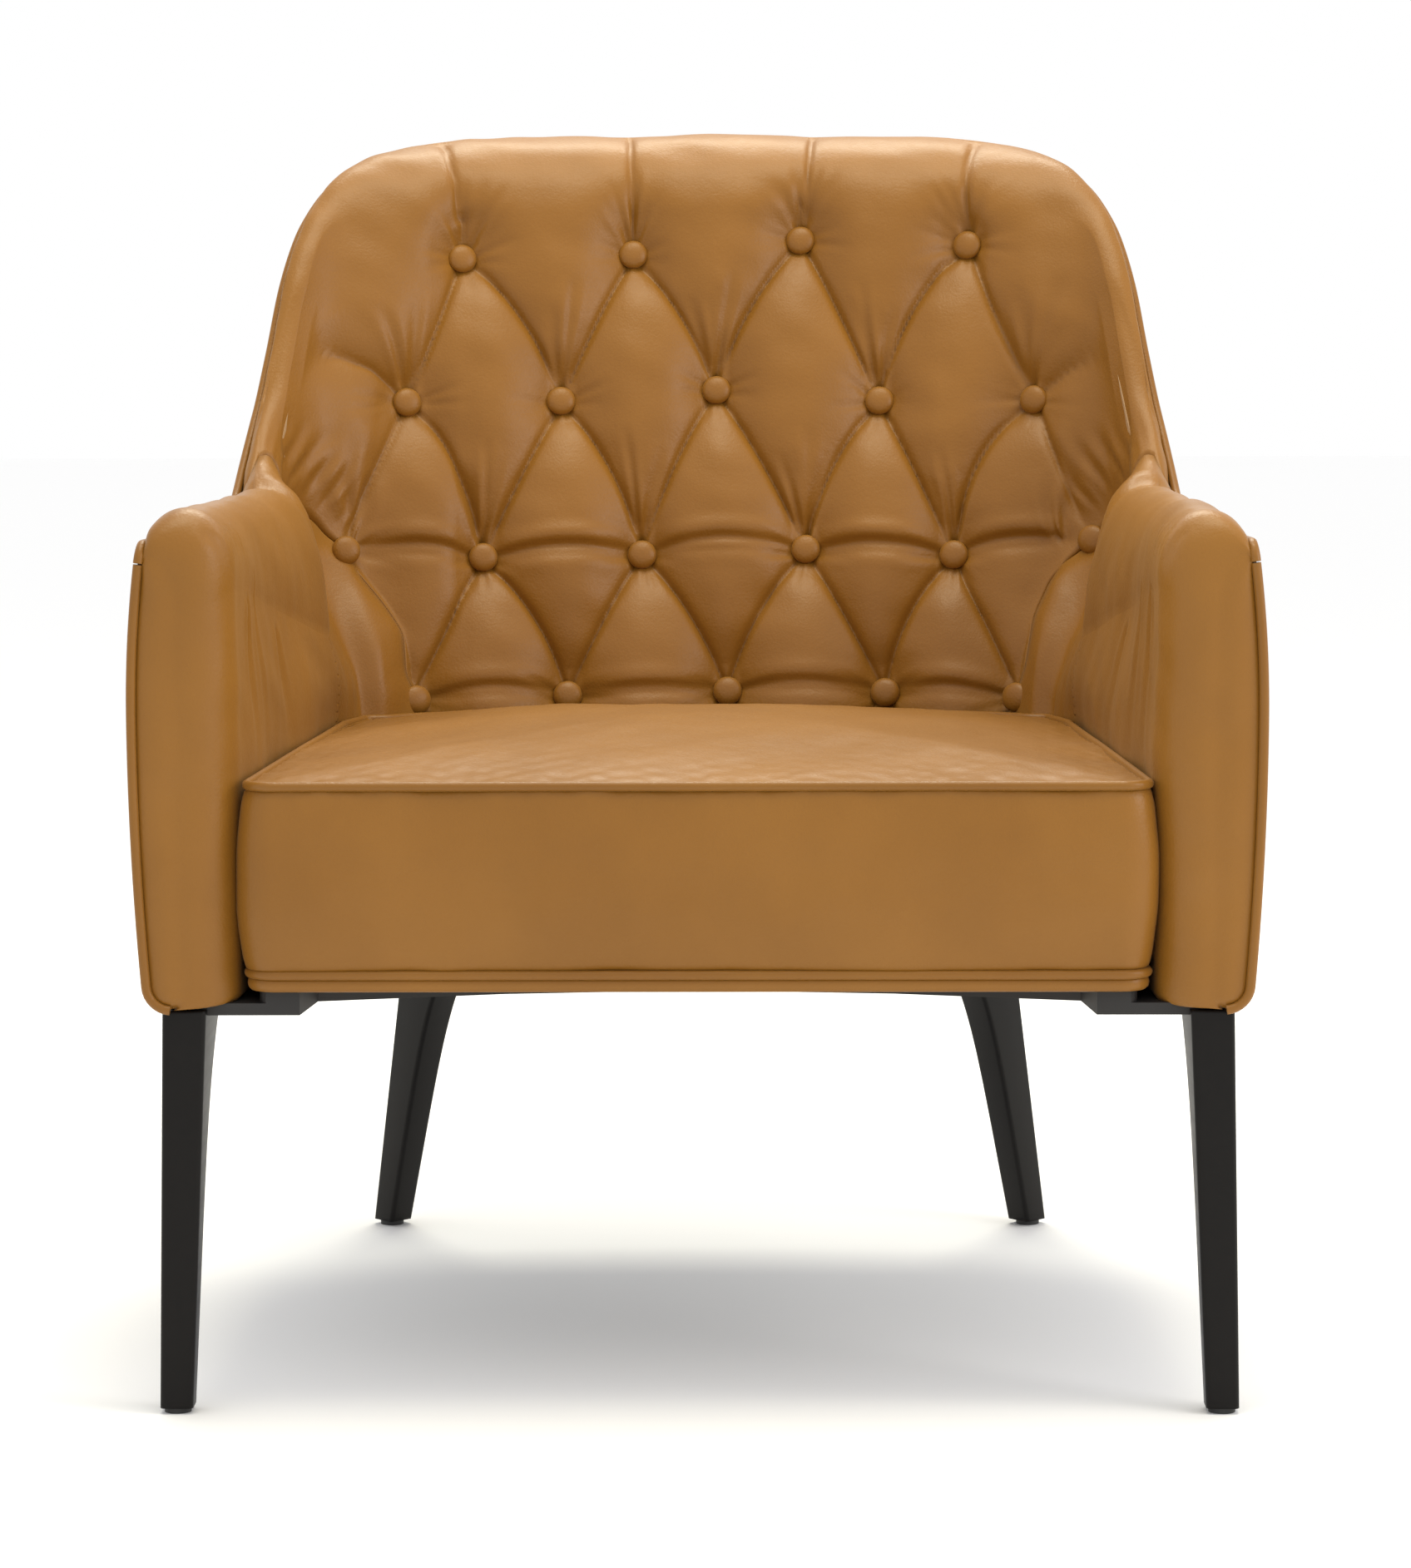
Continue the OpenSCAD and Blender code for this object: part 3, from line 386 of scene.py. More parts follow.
outer_back_runs = seam_spacing(-outer_seam_run, outer_seam_run)
outer_back = grid_mesh("outer_back", outer_loops(outer_back_runs, outer_seam_run - np.abs(outer_back_runs)))
finished(outer_back, leather, ["outer_back_cover", "outer_back_padding"])
outer_side_runs = seam_spacing(outer_seam_run, front_run - 0.003)
for side, label in ((-1, "left"), (1, "right")):
    side_loops = outer_loops(side * outer_side_runs, outer_side_runs - outer_seam_run)
    outer_side = grid_mesh(f"{label}_outer_side", side_loops)
    side_nodes = [f"{label}_outer_cover", f"{label}_outer_padding"]
    finished(outer_side, leather, side_nodes)

# ---- Tufted inner back --------------------------------------------------------------------------
# Leather over thick foam, drawn in by twenty covered buttons. The leather is folded along the lines
# from button to button, so that it stands in diamond pillows, and gathers where the folds meet.

# Rows of points over the crown, for each half, and down the face
crown_rows = 22
face_rows = 240
face_start = 2 * crown_rows - 1

# Thickness of the padded walls, and the crown that rolls over their tops
arm_thickness = 0.067
arm_rear_thickness = 0.085
back_thickness = 0.104
back_thinning = 0.07
hollow_run = 0.362
hollow_back_reach = 0.150
hollow_arm_reach = 0.100
hollow_depth = 0.019
hollow_start = 0.430
hollow_rise = 0.110
rear_thinning = 0.024
filling_run = 0.520
filling_reach = 0.170
filling_depth = 0.004
filling_low = 0.405
filling_low_rise = 0.05
filling_high = 0.560
filling_high_rise = 0.08
crown_radius = 0.034
front_radius = 0.033
back_crown = 0.014
least_crown = 0.0065
arm_crown = 0.023
rise_cut = 0.9
roll_cut = 0.2
roll_broadening = 0.022
roll_fall = 0.018
back_roll_fall = 0.010
arm_roll_fall = 0.060
wing_crown = 0.006
wing_radius = 0.020
wing_edge = 0.022
wing_slope = 0.150
wing_roll_cut = 0.43
wing_start, wing_gain = 22, 30
wing_end, wing_loss = 90, 24
bottom_radius = 0.008
welt_gap = 0.0032
plywood_face = 0.0229
plywood_drop = 0.012


def wing_softness(run):
    """1 on the wings, where the padding thins toward the piping in one broad slope, and 0 elsewhere."""
    angle = np.degrees(plan_angle(run))
    return smooth_step((angle - wing_start) / wing_gain) * smooth_step((wing_end - angle) / wing_loss)


def crown_rise(run):
    """Height of the roll above the piped edge."""
    rise = arm_crown + (back_crown - arm_crown) * back_share(run) - rise_cut * front_cut(run)
    return rise + (wing_crown - rise) * wing_softness(run)


def arm_broadness(run):
    """The roll over an arm grows broader toward the back."""
    return (1 - arm_share(run)) ** 1.5 * (1 - back_share(run))


def inner_crown(run):
    """Radius of the roll's inner side, measured across the wall."""
    broadness = np.maximum(back_share(run), arm_broadness(run))
    radius = crown_radius - roll_cut * front_cut(run) + roll_broadening * broadness
    return radius + (wing_radius - radius) * wing_softness(run)


def inner_fall(run):
    """Height of the roll's inner side."""
    fall = edge_stretch(run) * (crown_radius - roll_cut * front_cut(run)) + roll_fall
    fall = fall + back_roll_fall * back_share(run) + arm_roll_fall * arm_broadness(run)
    return fall + (edge_stretch(run) * wing_radius * (1 - np.cos(roll_end(run))) - fall) * wing_softness(run)


def roll_end(run):
    """Angle at which the roll's inner side runs on into the face."""
    return math.pi / 2 * (1 - wing_roll_cut * wing_softness(run))


def front_cut(run):
    """How far the padding has rounded in where it turns to the front of an arm."""
    into = np.clip(np.abs(run) - (front_run - front_radius), 0, front_radius)
    return front_radius - np.sqrt(front_radius ** 2 - into ** 2)


def corner_hollow(run, height):
    """The foam is thinner behind the wings, so that the tufted face runs on nearly flat to the arms."""
    beyond = np.abs(run) - hollow_run
    off_middle = np.clip(beyond / np.where(beyond < 0, hollow_back_reach, hollow_arm_reach), -1, 1)
    return hollow_depth * (1 - off_middle ** 2) ** 2 * smooth_step((height - hollow_start) / hollow_rise)


def corner_filling(run, height):
    """Above the seat, the corners between the back and the arms are filled out."""
    off_middle = np.clip((np.abs(run) - filling_run) / filling_reach, -1, 1)
    level = smooth_step((height - filling_low) / filling_low_rise)
    level = level * smooth_step((filling_high - height) / filling_high_rise)
    return filling_depth * (1 - off_middle ** 2) ** 2 * level


def pad_thickness(run, height):
    """Thickness of the wall, from its outside to the inner face."""
    share = lean_share(run)
    rear = arm_rear_thickness - rear_thinning * smooth_step((height - hollow_start) / hollow_rise)
    arm = rear + (arm_thickness - rear) * arm_share(run)
    back = back_thickness - back_thinning * (height - lean_height)
    taken = corner_hollow(run, height) - corner_filling(run, height)
    thickness = arm + (back - arm) * share + belly(run, height) - taken
    from_edge = np.clip((edge_height(run) - height) / edge_stretch(run) / wing_slope, 0, 1)
    return thickness - (thickness - wing_edge) * wing_softness(run) * (1 - from_edge) ** 2


def face_top(run):
    """Height at which the roll runs on into the inner face."""
    return edge_height(run) + edge_stretch(run) * crown_rise(run) - inner_fall(run)


def roll_under(height, radius):
    """How far an edge has turned in at a height, where it rolls under the frame."""
    down = np.clip(outer_bottom + radius - height, 0, radius)
    return radius - np.sqrt(radius ** 2 - down ** 2)


def pad_surface(run):
    """Taut surface of the padding from the piped edge over the crown and down its inner face."""
    sweep = np.linspace(0, math.pi / 2, crown_rows)[:, None]
    down = np.linspace(0, 1, face_rows + 1)[1:, None]
    outer_run, inner_run, face_run = np.split(run, [crown_rows, face_start])

    def crown_parts(part):
        """Measures of the roll at some runs."""
        top, turned_in = face_top(part), np.sin(roll_end(part))
        thickness = pad_thickness(part, top) - front_cut(part)
        radius = np.minimum(inner_crown(part), (thickness - least_crown) / turned_in)
        middle = thickness - radius * turned_in
        return edge_height(part), edge_stretch(part), crown_rise(part), radius, middle

    top, tall, rise, radius, middle = crown_parts(outer_run)
    drop = corner_drop(outer_run)
    outer_height = top - drop + (tall * rise + drop) * np.sin(sweep)
    outer_depth = middle - (middle - welt_gap) * np.cos(sweep)
    top, tall, rise, radius, middle = crown_parts(inner_run)
    last = roll_end(inner_run)
    turn = sweep[1:] / (math.pi / 2) * last
    inner_height = top + tall * rise - inner_fall(inner_run) * (1 - np.cos(turn)) / (1 - np.cos(last))
    inner_depth = middle + radius * np.sin(turn)
    start = face_top(face_run)
    face_height = start + (outer_bottom - start) * down
    face_depth = pad_thickness(face_run, face_height) - front_cut(face_run)
    face_depth = face_depth - roll_under(face_height, bottom_radius)
    height = np.concatenate([outer_height, inner_height, face_height])
    depth = np.concatenate([outer_depth, inner_depth, face_depth])
    return wall(run, height, depth), height, depth


def facing_of(points):
    """Outward direction of a surface given as rows of points from one end of the wall to the other."""
    across, down = np.gradient(points, axis=1), np.gradient(points, axis=0)
    normal = np.cross(down, across)
    return normal / np.maximum(np.linalg.norm(normal, axis=-1, keepdims=True), 1e-9)


# The tufting is laid out along the inner face, at this depth in from the outside
tuft_plane = 0.085
corner_ratio = corner_radius / (corner_radius - tuft_plane)
bow_length = (bow_radius - tuft_plane) * bow_angle


def run_of(length):
    """Run along the outside that lies behind a length along the inner face."""
    size = np.abs(length)
    bow = size * bow_radius / (bow_radius - tuft_plane)
    return np.sign(length) * np.where(size <= bow_length, bow, bow_run + (size - bow_length) * corner_ratio)


# Buttons as (length from the middle, height), the four rows from the top
button_rows = [
    [(-0.186, 0.763), (-0.058, 0.765), (0.072, 0.777), (0.197, 0.773)],
    [(-0.226, 0.652), (-0.113, 0.652), (0.006, 0.661), (0.132, 0.652), (0.240, 0.653)],
    [(-0.268, 0.539), (-0.174, 0.533), (-0.051, 0.536), (0.076, 0.538), (0.190, 0.535), (0.278, 0.546)],
    [(-0.230, 0.426), (-0.108, 0.429), (0.015, 0.432), (0.137, 0.431), (0.246, 0.426)],
]
buttons = [np.array(place) for row in button_rows for place in row]
hidden_row = [(length, 0.315) for length, height in button_rows[2]]

# Edge of the tufted leather, where it meets the arms: down over the crown, in to the end button of the
# third row, and round to the end button of the fourth. Points are (length from the middle, height).
left_join = [
    (-0.328, 0.664), (-0.340, 0.612), (-0.330, 0.594), (-0.306, 0.580), (-0.282, 0.566), (-0.275, 0.546),
    (-0.268, 0.539), (-0.264, 0.527), (-0.250, 0.502), (-0.238, 0.477), (-0.239, 0.446), (-0.230, 0.426),
    (-0.228, 0.270),
]
right_join = [
    (0.328, 0.664), (0.340, 0.612), (0.333, 0.594), (0.310, 0.578), (0.287, 0.563), (0.281, 0.552),
    (0.278, 0.546), (0.273, 0.535), (0.259, 0.520), (0.252, 0.490), (0.253, 0.453), (0.246, 0.426),
    (0.243, 0.270),
]
join_smoothing = 60


def join_lengths(join):
    """Length of a join at each row of a pad's surface: over the crown it is square to the wall."""
    lengths, heights = np.array(join)[::-1].T
    fine = np.linspace(heights[0], heights[-1], 2000)
    along = np.interp(fine, heights, lengths)
    window = np.hanning(2 * join_smoothing + 1)
    along = np.convolve(np.pad(along, join_smoothing, mode="edge"), window / window.sum(), mode="valid")
    start = face_top(run_of(along))
    share = (start - fine) / (start - outer_bottom)
    on_face = share > 0
    rows = np.interp(np.linspace(0, 1, face_rows + 1)[1:], share[on_face][::-1], along[on_face][::-1])
    crown_start = along[on_face][-1]
    over = smooth_step(np.linspace(1, 0, face_start))
    return np.concatenate([crown_start + (lengths[-1] - crown_start) * over, rows])


def bent_path(start, end, bulge, count=14):
    """Points along a fold between two places, bulging to one side."""
    start, end = np.array(start), np.array(end)
    chord = end - start
    middle = (start + end) / 2 + 2 * bulge * np.array([-chord[1], chord[0]]) / np.linalg.norm(chord)
    t = np.linspace(0, 1, count)[:, None]
    return (1 - t) ** 2 * start + 2 * t * (1 - t) * middle + t ** 2 * end


def lengths_along(points):
    """Distance from the first point of a line at each of its points."""
    return np.concatenate([[0], np.cumsum(np.linalg.norm(np.diff(points, axis=0), axis=-1))])


def curve_through(points, count=24):
    """Smooth curve through a few places."""
    points = np.array(points, dtype=float)
    step = lengths_along(points)
    fine = np.linspace(0, step[-1], 400)
    width = max(int(60 / len(points)), 3) | 1
    smooth = []
    for axis in range(points.shape[1]):
        line = np.interp(fine, step, points[:, axis])
        padded = np.concatenate([2 * line[0] - line[width:0:-1], line, 2 * line[-1] - line[-2:-width - 2:-1]])
        smooth.append(np.convolve(padded, np.ones(2 * width + 1) / (2 * width + 1), mode="valid"))
    keep = np.linspace(0, len(fine) - 1, count).round().astype(int)
    return np.array(smooth).T[keep]


def near_path(places, path, reach):
    """The places that a path can move, their distance from it, and how far along it they lie."""
    here = np.all((places > path.min(axis=0) - reach) & (places < path.max(axis=0) + reach), axis=-1)
    close = places[here]
    best = np.full(len(close), 1e9)
    along = np.zeros(len(close))
    for i, (start, end) in enumerate(zip(path[:-1], path[1:])):
        chord = end - start
        t = np.clip(((close - start) @ chord) / (chord @ chord), 0, 1)
        distance = np.linalg.norm(close - start - t[:, None] * chord, axis=-1)
        along = np.where(distance < best, (i + t) / (len(path) - 1), along)
        best = np.minimum(distance, best)
    return here, best, along


def surface_places(points, length, height):
    """(length, height) coordinates of a surface's points, measured along it over the crown."""
    steps = np.linalg.norm(np.diff(points[:face_start + 1], axis=0), axis=-1)
    level = height.copy()
    level[:face_start] = height[face_start] + np.cumsum(steps[::-1], axis=0)[::-1]
    return np.stack([length, level], axis=-1)


def over_crown(length, share):
    """Height coordinate at a share of the way over the crown, from the face's top to the piped edge."""
    column = np.full((face_start + face_rows, 2), run_of(np.array(float(length))))
    taut, height, _ = pad_surface(column)
    level = surface_places(taut, column, height)[:, 0, 1]
    start = float(face_top(column[0, 0]))
    return start + share * (level[0] - start)


# Folds from button to button as (path, strength), bulging away from the middle of the back
fold_bulge = 0.0075
fold_reach = 0.09
middle_width = 0.24
creases = []
for upper, lower in zip(button_rows, button_rows[1:] + [hidden_row]):
    for start in upper:
        nearest = sorted(lower, key=lambda place: abs(place[0] - start[0]))[:2]
        for end in nearest:
            if abs(end[0] - start[0]) > fold_reach:
                continue
            way = 1 if end[0] > start[0] else -1
            lean_in = smooth_step(0.5 - way * (start[0] + end[0]) / 2 / middle_width)
            bulge = way * fold_bulge * (0.15 + lean_in)
            creases.append((bent_path(start, end, bulge), 1.0))

# Folds from the top row over the crown, and from the ends of the second row to the piped edge
top_drift = [-0.012, -0.002, 0.008, 0.001]
for (length, height), drift in zip(button_rows[0], top_drift):
    far = length + drift
    points = [(length, height), (length, height + 0.035), (length + 0.35 * drift, over_crown(length, 0.0))]
    points += [(far - 0.2 * drift, over_crown(far, 0.4)), (far, over_crown(far, 1.0))]
    creases.append((curve_through(points), 0.75))
side_folds = [
    [(-0.226, 0.652), (-0.236, 0.665), (-0.248, 0.677), (-0.262, 0.686), (-0.283, 0.691), (-0.290, 0.695)],
    [(0.240, 0.653), (0.254, 0.667), (0.262, 0.676), (0.270, 0.683), (0.287, 0.691), (0.290, 0.702)],
]
for points in side_folds:
    length = points[-1][0]
    creases.append((curve_through(points + [(1.005 * length, over_crown(1.005 * length, 1.05))]), 0.7))

# Gathers: short soft folds that run out of the buttons, (path, depth, width at its far end)
rng = np.random.default_rng(11)
gathers = []


def gather(button, angle, length, depth, width, bend=0.0):
    """Adds one gather that runs out of a button at an angle from straight up."""
    start = np.array(button)
    angle = math.radians(angle)
    end = start + length * np.array([math.sin(angle), math.cos(angle)])
    gathers.append((bent_path(start, end, bend), depth, width))


# Sideways and downward gathers as (angles, lengths, depths, width)
low_gathers = [
    ((-104, -78, 76, 102), (0.030, 0.046), (0.0006, 0.0014), 0.004),
    ((-158, 172, 150), (0.022, 0.036), (0.0008, 0.0014), 0.003),
]
for row, places in enumerate(button_rows):
    spread, reach = (13.8, 1.0) if row else (29.9, 0.75)
    for place in places:
        for angle in np.linspace(-spread, spread, 5) if row < 3 else []:
            long = rng.uniform(0.055, 0.095) * reach
            turn = angle + rng.normal(0, 2.0)
            depth, width = rng.uniform(0.0020, 0.0040), rng.uniform(0.0034, 0.0052)
            gather(place, turn, long, depth, width, 0.002 * turn / 30)
        for angles, lengths, depths, width in low_gathers:
            for angle in angles:
                gather(place, angle + rng.normal(0, 6), rng.uniform(*lengths), rng.uniform(*depths), width)

# Slack arches between the buttons of the third and the fourth row: (path, depth, width)
arches = []
for row, sag, depth in ((2, 0.013, 0.0042), (3, 0.009, 0.0030)):
    for start, end in zip(button_rows[row][:-1], button_rows[row][1:]):
        jitter = rng.normal(0, 0.0015)
        arches.append((bent_path(start, end, sag / 2 + jitter), depth * rng.uniform(0.8, 1.2), 0.0042))
        low = bent_path(np.array(start) - (0, 0.004), np.array(end) - (0, 0.004), 0.002 + jitter / 2)
        arches.append((low, 0.35 * depth, 0.0036))

pillow_rise = 0.0115
pillow_reach = 0.046
pillow_blend = 0.008
dimple_depth = 0.0125
dimple_reach = 0.024
crown_calm = 0.75
stitch_depth = 0.0056
stitch_width = 0.0021


def fold_depth(places, folds):
    """How far short soft folds press in, with the leather standing up beside them."""
    depth = np.zeros(places.shape[:-1])
    for path, fold, width in folds:
        here, distance, along = near_path(places, path, 4 * width)
        spread = width * (0.35 + 0.65 * along)
        fade = smooth_step(along * 7) * (1 - along) ** 0.8
        valley = np.exp(-(distance / spread) ** 2)
        shoulder = np.exp(-((distance - 1.9 * spread) / spread) ** 2)
        depth[here] += fold * fade * (valley - 0.45 * shoulder)
    return depth


def tufted_depth(places):
    """How far the leather lies below the taut surface at (length, height) places."""
    nearness = np.zeros(places.shape[:-1])
    groove = np.zeros(places.shape[:-1])
    for path, strength in creases:
        here, distance, _ = near_path(places, path, 1.3 * pillow_reach)
        nearness[here] += strength * np.exp(-distance / pillow_blend)
        groove[here] = np.maximum(groove[here], strength * np.exp(-distance / stitch_width))
    distance = np.clip(-pillow_blend * np.log(np.maximum(nearness, 1e-9)), 0, pillow_reach)
    above_face = places[..., 1] - face_top(run_of(places[..., 0]))
    rolled = 1 - crown_calm * smooth_step((above_face + 0.01) / 0.06)
    depth = pillow_rise * rolled * (1 - distance / pillow_reach) ** 2 + stitch_depth * groove
    for place in buttons:
        away = np.linalg.norm((places - place) * (1, 0.86), axis=-1)
        depth += dimple_depth * np.exp(-(away / dimple_reach) ** 1.35)
    depth += fold_depth(places, gathers)
    for path, fold, width in arches:
        here, distance, along = near_path(places, path, 6 * width)
        fade = np.sin(math.pi * np.clip(along, 0, 1)) ** 0.6
        above = places[here][:, 1] > np.interp(places[here][:, 0], *path.T)
        valley = np.exp(-(distance / (width * np.where(above, 0.7, 1.6))) ** 2)
        swell = np.exp(-((distance - 2.2 * width) / (1.5 * width)) ** 2) * np.where(above, 1.0, 0.3)
        depth[here] += fold * fade * (valley - 0.5 * swell)
    return depth


behind_rows = np.linspace(face_start + face_rows - 1, crown_rows // 2, 12).round().astype(int)


def pad_loops(points, run):
    """Closes each section of a pad behind its face, along the plywood, and turns it into a loop."""
    run = np.broadcast_to(run, points.shape[:2])
    behind = []
    for row in behind_rows:
        top = edge_height(run[row]) - edge_stretch(run[row]) * plywood_drop - corner_drop(run[row])
        height = np.clip(points[row, :, 2], outer_bottom, top)
        behind.append(wall(run[row], height, plywood_face))
    behind.append(wall(run[0], top, welt_gap - 0.0006))
    return np.concatenate([points, behind]).transpose(1, 0, 2)


def pad_ends():
    """Triangles that close a pad's section at the ends of its wall, from its face to the plywood."""
    last = len(behind_rows)
    first = face_start + face_rows
    stops = list(behind_rows) + [0]
    faces = []
    for k in range(last):
        faces += [(first + k, row, row - 1) for row in range(stops[k], stops[k + 1], -1)]
        faces.append((first + k, stops[k + 1], first + k + 1))
    return faces


back_columns = 330
foam_left = 0.003
least_room = 0.0015
crown_room = 0.004
column_easing = 0.05
edge_share = 0.25
edge_easing = 0.03
back_ripple = 0.0004
left_edge = join_lengths(left_join)
right_edge = join_lengths(right_join)
across = np.linspace(0, 1, back_columns)
across = across + column_easing * np.sin(2 * math.pi * across) / (2 * math.pi)
back_lengths = left_edge[:, None] + (right_edge - left_edge)[:, None] * across
back_runs = run_of(back_lengths)
taut_back, back_heights, back_inward = pad_surface(back_runs)
back_places = surface_places(taut_back, back_lengths, back_heights)

# The leather gathers into the join with the arms: (length and height on the join, the fold's way inward
# and up, its length)
join_gathers = [
    (0.262, 0.541, 0.10, 1.0, 0.055), (0.266, 0.547, -0.15, 1.0, 0.060), (0.272, 0.556, 0.05, 1.0, 0.068),
    (0.279, 0.570, 0.30, 1.0, 0.066), (0.287, 0.582, 0.45, 1.0, 0.060), (0.298, 0.592, 0.60, 1.0, 0.058),
    (0.310, 0.600, 0.75, 1.0, 0.052), (0.322, 0.606, 0.95, 1.0, 0.046), (0.331, 0.616, 1.00, 0.8, 0.042),
]
for side in (-1, 1):
    for length, height, inward, up, reach in join_gathers:
        start = np.array([side * length, height])
        way = np.array([-side * (inward + rng.normal(0, 0.06)), up])
        end = start + reach * rng.uniform(0.85, 1.1) * way / np.linalg.norm(way)
        depth, width = rng.uniform(0.0022, 0.0036), rng.uniform(0.004, 0.0052)
        gathers.append((bent_path(start, end, side * 0.004), depth, width))

join_width = 0.0065
join_depth = 0.011
wing_join = 0.4
turned_in = 0.012


def tucked(points, depth, away, first, last):
    """Draws the leather into the fold at a join, and adds a last column that turns down inside it."""
    share = np.exp(-away / join_width)
    row = np.arange(len(points))[:, None] / crown_rows
    fold = join_depth * (wing_join + (1 - wing_join) * smooth_step((row - 1.6) / 1.2))
    depth = depth * (1 - share) + fold * share
    facing = facing_of(points)
    shaped = points - depth[..., None] * facing
    hidden = shaped - turned_in * facing
    columns = ([hidden[:, :1]] if first else []) + [shaped] + ([hidden[:, -1:]] if last else [])
    return np.concatenate(columns, axis=1)


back_depth = tufted_depth(back_places)
welt_distance = back_places[0, :, 1] - back_places[..., 1]
back_depth *= edge_share + (1 - edge_share) * smooth_step(welt_distance / edge_easing)
back_depth += back_ripple * ripples(taut_back, 0.045, seed=21)
room = np.maximum(back_inward - plywood_face - foam_left, least_room)
room[:crown_rows] = crown_room
back_depth = np.where(back_depth > 0, room * np.tanh(back_depth / room), back_depth)
from_join = np.minimum(np.abs(back_lengths - left_edge[:, None]), np.abs(back_lengths - right_edge[:, None]))
back_shape = tucked(taut_back, back_depth, from_join, True, True)
back_end_runs = np.concatenate([back_runs[:, :1], back_runs, back_runs[:, -1:]], axis=1)
tufted_back = grid_mesh("tufted_back", pad_loops(back_shape, back_end_runs), ends=pad_ends())
finished(tufted_back, leather, ["back_cover", "back_foam"])

# ---- Arms ---------------------------------------------------------------------------------------
# Smooth leather over thick foam, rolled over the top and round the front of each arm. It is drawn into
# the fold beside the tufted back, and ends on the piping at the outer front edge.
arm_columns = 120
round_columns = 16
front_columns = 26
front_dome = 0.0016
front_pinch = 0.0024
front_wave = 0.0005
arm_wave = 0.0011
arm_ripple = 0.00035
arm_easing = 0.012
join_swell = 0.003
join_swell_place = 0.034
join_swell_width = 0.022
arm_behind_run = front_run - 0.012
arm_fold_bow = 0.004

# Small tucks over the front end of each arm's top
tuck_count = 6
tuck_start = 0.010
tuck_gap = 0.016

# Soft folds on the inside of each arm as (distance from the front, low, high, depth, width)
arm_folds = {
    "left": [
        (0.105, 0.425, 0.545, 0.0026, 0.010), (0.150, 0.425, 0.560, 0.0018, 0.009),
        (0.255, 0.42, 0.51, 0.0020, 0.013),
    ],
    "right": [
        (0.100, 0.430, 0.550, 0.0026, 0.010), (0.155, 0.425, 0.550, 0.0018, 0.010),
        (0.270, 0.42, 0.51, 0.0020, 0.013),
    ],
}

# Heights of the buttons that sit on the joins
joined_heights = [row[-1][1] for row in button_rows[2:]]


def arm_loops(label, join, seed):
    """Closed sections of a right-hand arm pad, from the fold at the back to the piping at the front."""
    start = run_of(join_lengths(join))[:, None]
    turn = np.linspace(0, math.pi / 2, round_columns)
    columns = np.linspace(0, 1, arm_columns) ** 0.85
    runs = start + (front_run - front_radius - start) * columns
    round_front = front_run - front_radius + front_radius * np.sin(turn[1:])
    runs = np.concatenate([runs, np.broadcast_to(round_front, (len(start), round_columns - 1))], axis=1)
    taut, height, _ = pad_surface(runs)
    places = surface_places(taut, runs, height)
    into_join = (runs - start) / corner_ratio
    dip = -join_swell * np.exp(-((into_join - join_swell_place) / join_swell_width) ** 2)
    folds = []
    for away, low, high, depth, width in arm_folds[label]:
        along = front_run - away
        path = np.array([[along, high], [along + arm_fold_bow, (low + high) / 2], [along, low]])
        folds.append((path, depth, width))
    rng = np.random.default_rng(seed)
    top = places[0, -1, 1]
    for k in range(tuck_count):
        along = front_run - tuck_start - tuck_gap * k + rng.normal(0, 0.003)
        length = rng.uniform(0.018, 0.034)
        path = np.array([[along, top + 0.002], [along - 0.006, top - length]])
        folds.append((path, rng.uniform(0.0014, 0.0024), rng.uniform(0.0035, 0.0055)))
    dip += fold_depth(places, folds)
    for button_height in joined_heights:
        away = np.hypot(into_join, 0.86 * (places[..., 1] - button_height))
        dip += 0.7 * dimple_depth * np.exp(-(away / dimple_reach) ** 1.35)
    dip += arm_wave * ripples(taut, 0.16, seed) + arm_ripple * ripples(taut, 0.045, seed + 1)
    easing = smooth_step((places[0, :, 1] - places[..., 1]) / arm_easing)
    shaped = tucked(taut, dip * easing, into_join, True, False)

    # Front of the arm: from its rounded edge to the line where it is sewn to the piping
    top_height, bottom_height = height[0, -1], height[-1, -1]
    step = lengths_along(taut[:, -1])
    sewn_height = top_height + (bottom_height - top_height) * step / step[-1]
    sewn = wall(front_run, sewn_height, welt_gap + roll_under(sewn_height, outer_bottom_radius))
    t = 1 - (1 - np.linspace(0, 1, front_columns + 1)[1:]) ** 1.5
    edge = shaped[:, -1:]
    front = edge + (sewn[:, None] - edge) * t[None, :, None]
    width = np.linalg.norm(sewn - shaped[:, -1], axis=-1)[:, None]
    pinch = front_pinch * np.exp(-width * (1 - t) / 0.003) * smooth_step(width / 0.012)
    swell = front_dome * np.sin(math.pi * t) ** 2 * smooth_step(width / 0.03)
    wave = front_wave * ripples(front, 0.09, seed + 2)
    swell = swell + wave * np.sin(math.pi * t) * smooth_step(width / 0.02)
    under = roll_under(front[..., 2], bottom_radius) * smooth_step(4 * t)
    front[..., 1] += pinch - swell + under

    behind_runs = np.minimum(np.concatenate([runs[:, :1], runs], axis=1), arm_behind_run)
    loops = pad_loops(shaped, behind_runs)
    back_of_front = loops[-1, len(shaped):]
    thin = wall(arm_behind_run, back_of_front[:, 2], welt_gap)
    behind = back_of_front + (thin - back_of_front) * t[:, None, None]
    return np.concatenate([loops, np.concatenate([front.transpose(1, 0, 2), behind], axis=1)])


for side, label, join, seed in ((-1, "left", left_join, 31), (1, "right", right_join, 41)):
    mirrored_join = [(side * length, height) for length, height in join]
    loops = arm_loops(label, mirrored_join, seed)
    loops[..., 0] *= side
    arm_pad = grid_mesh(f"{label}_arm_pad", loops, ends=pad_ends())
    finished(arm_pad, leather, [f"{label}_arm_cover", f"{label}_arm_foam"])

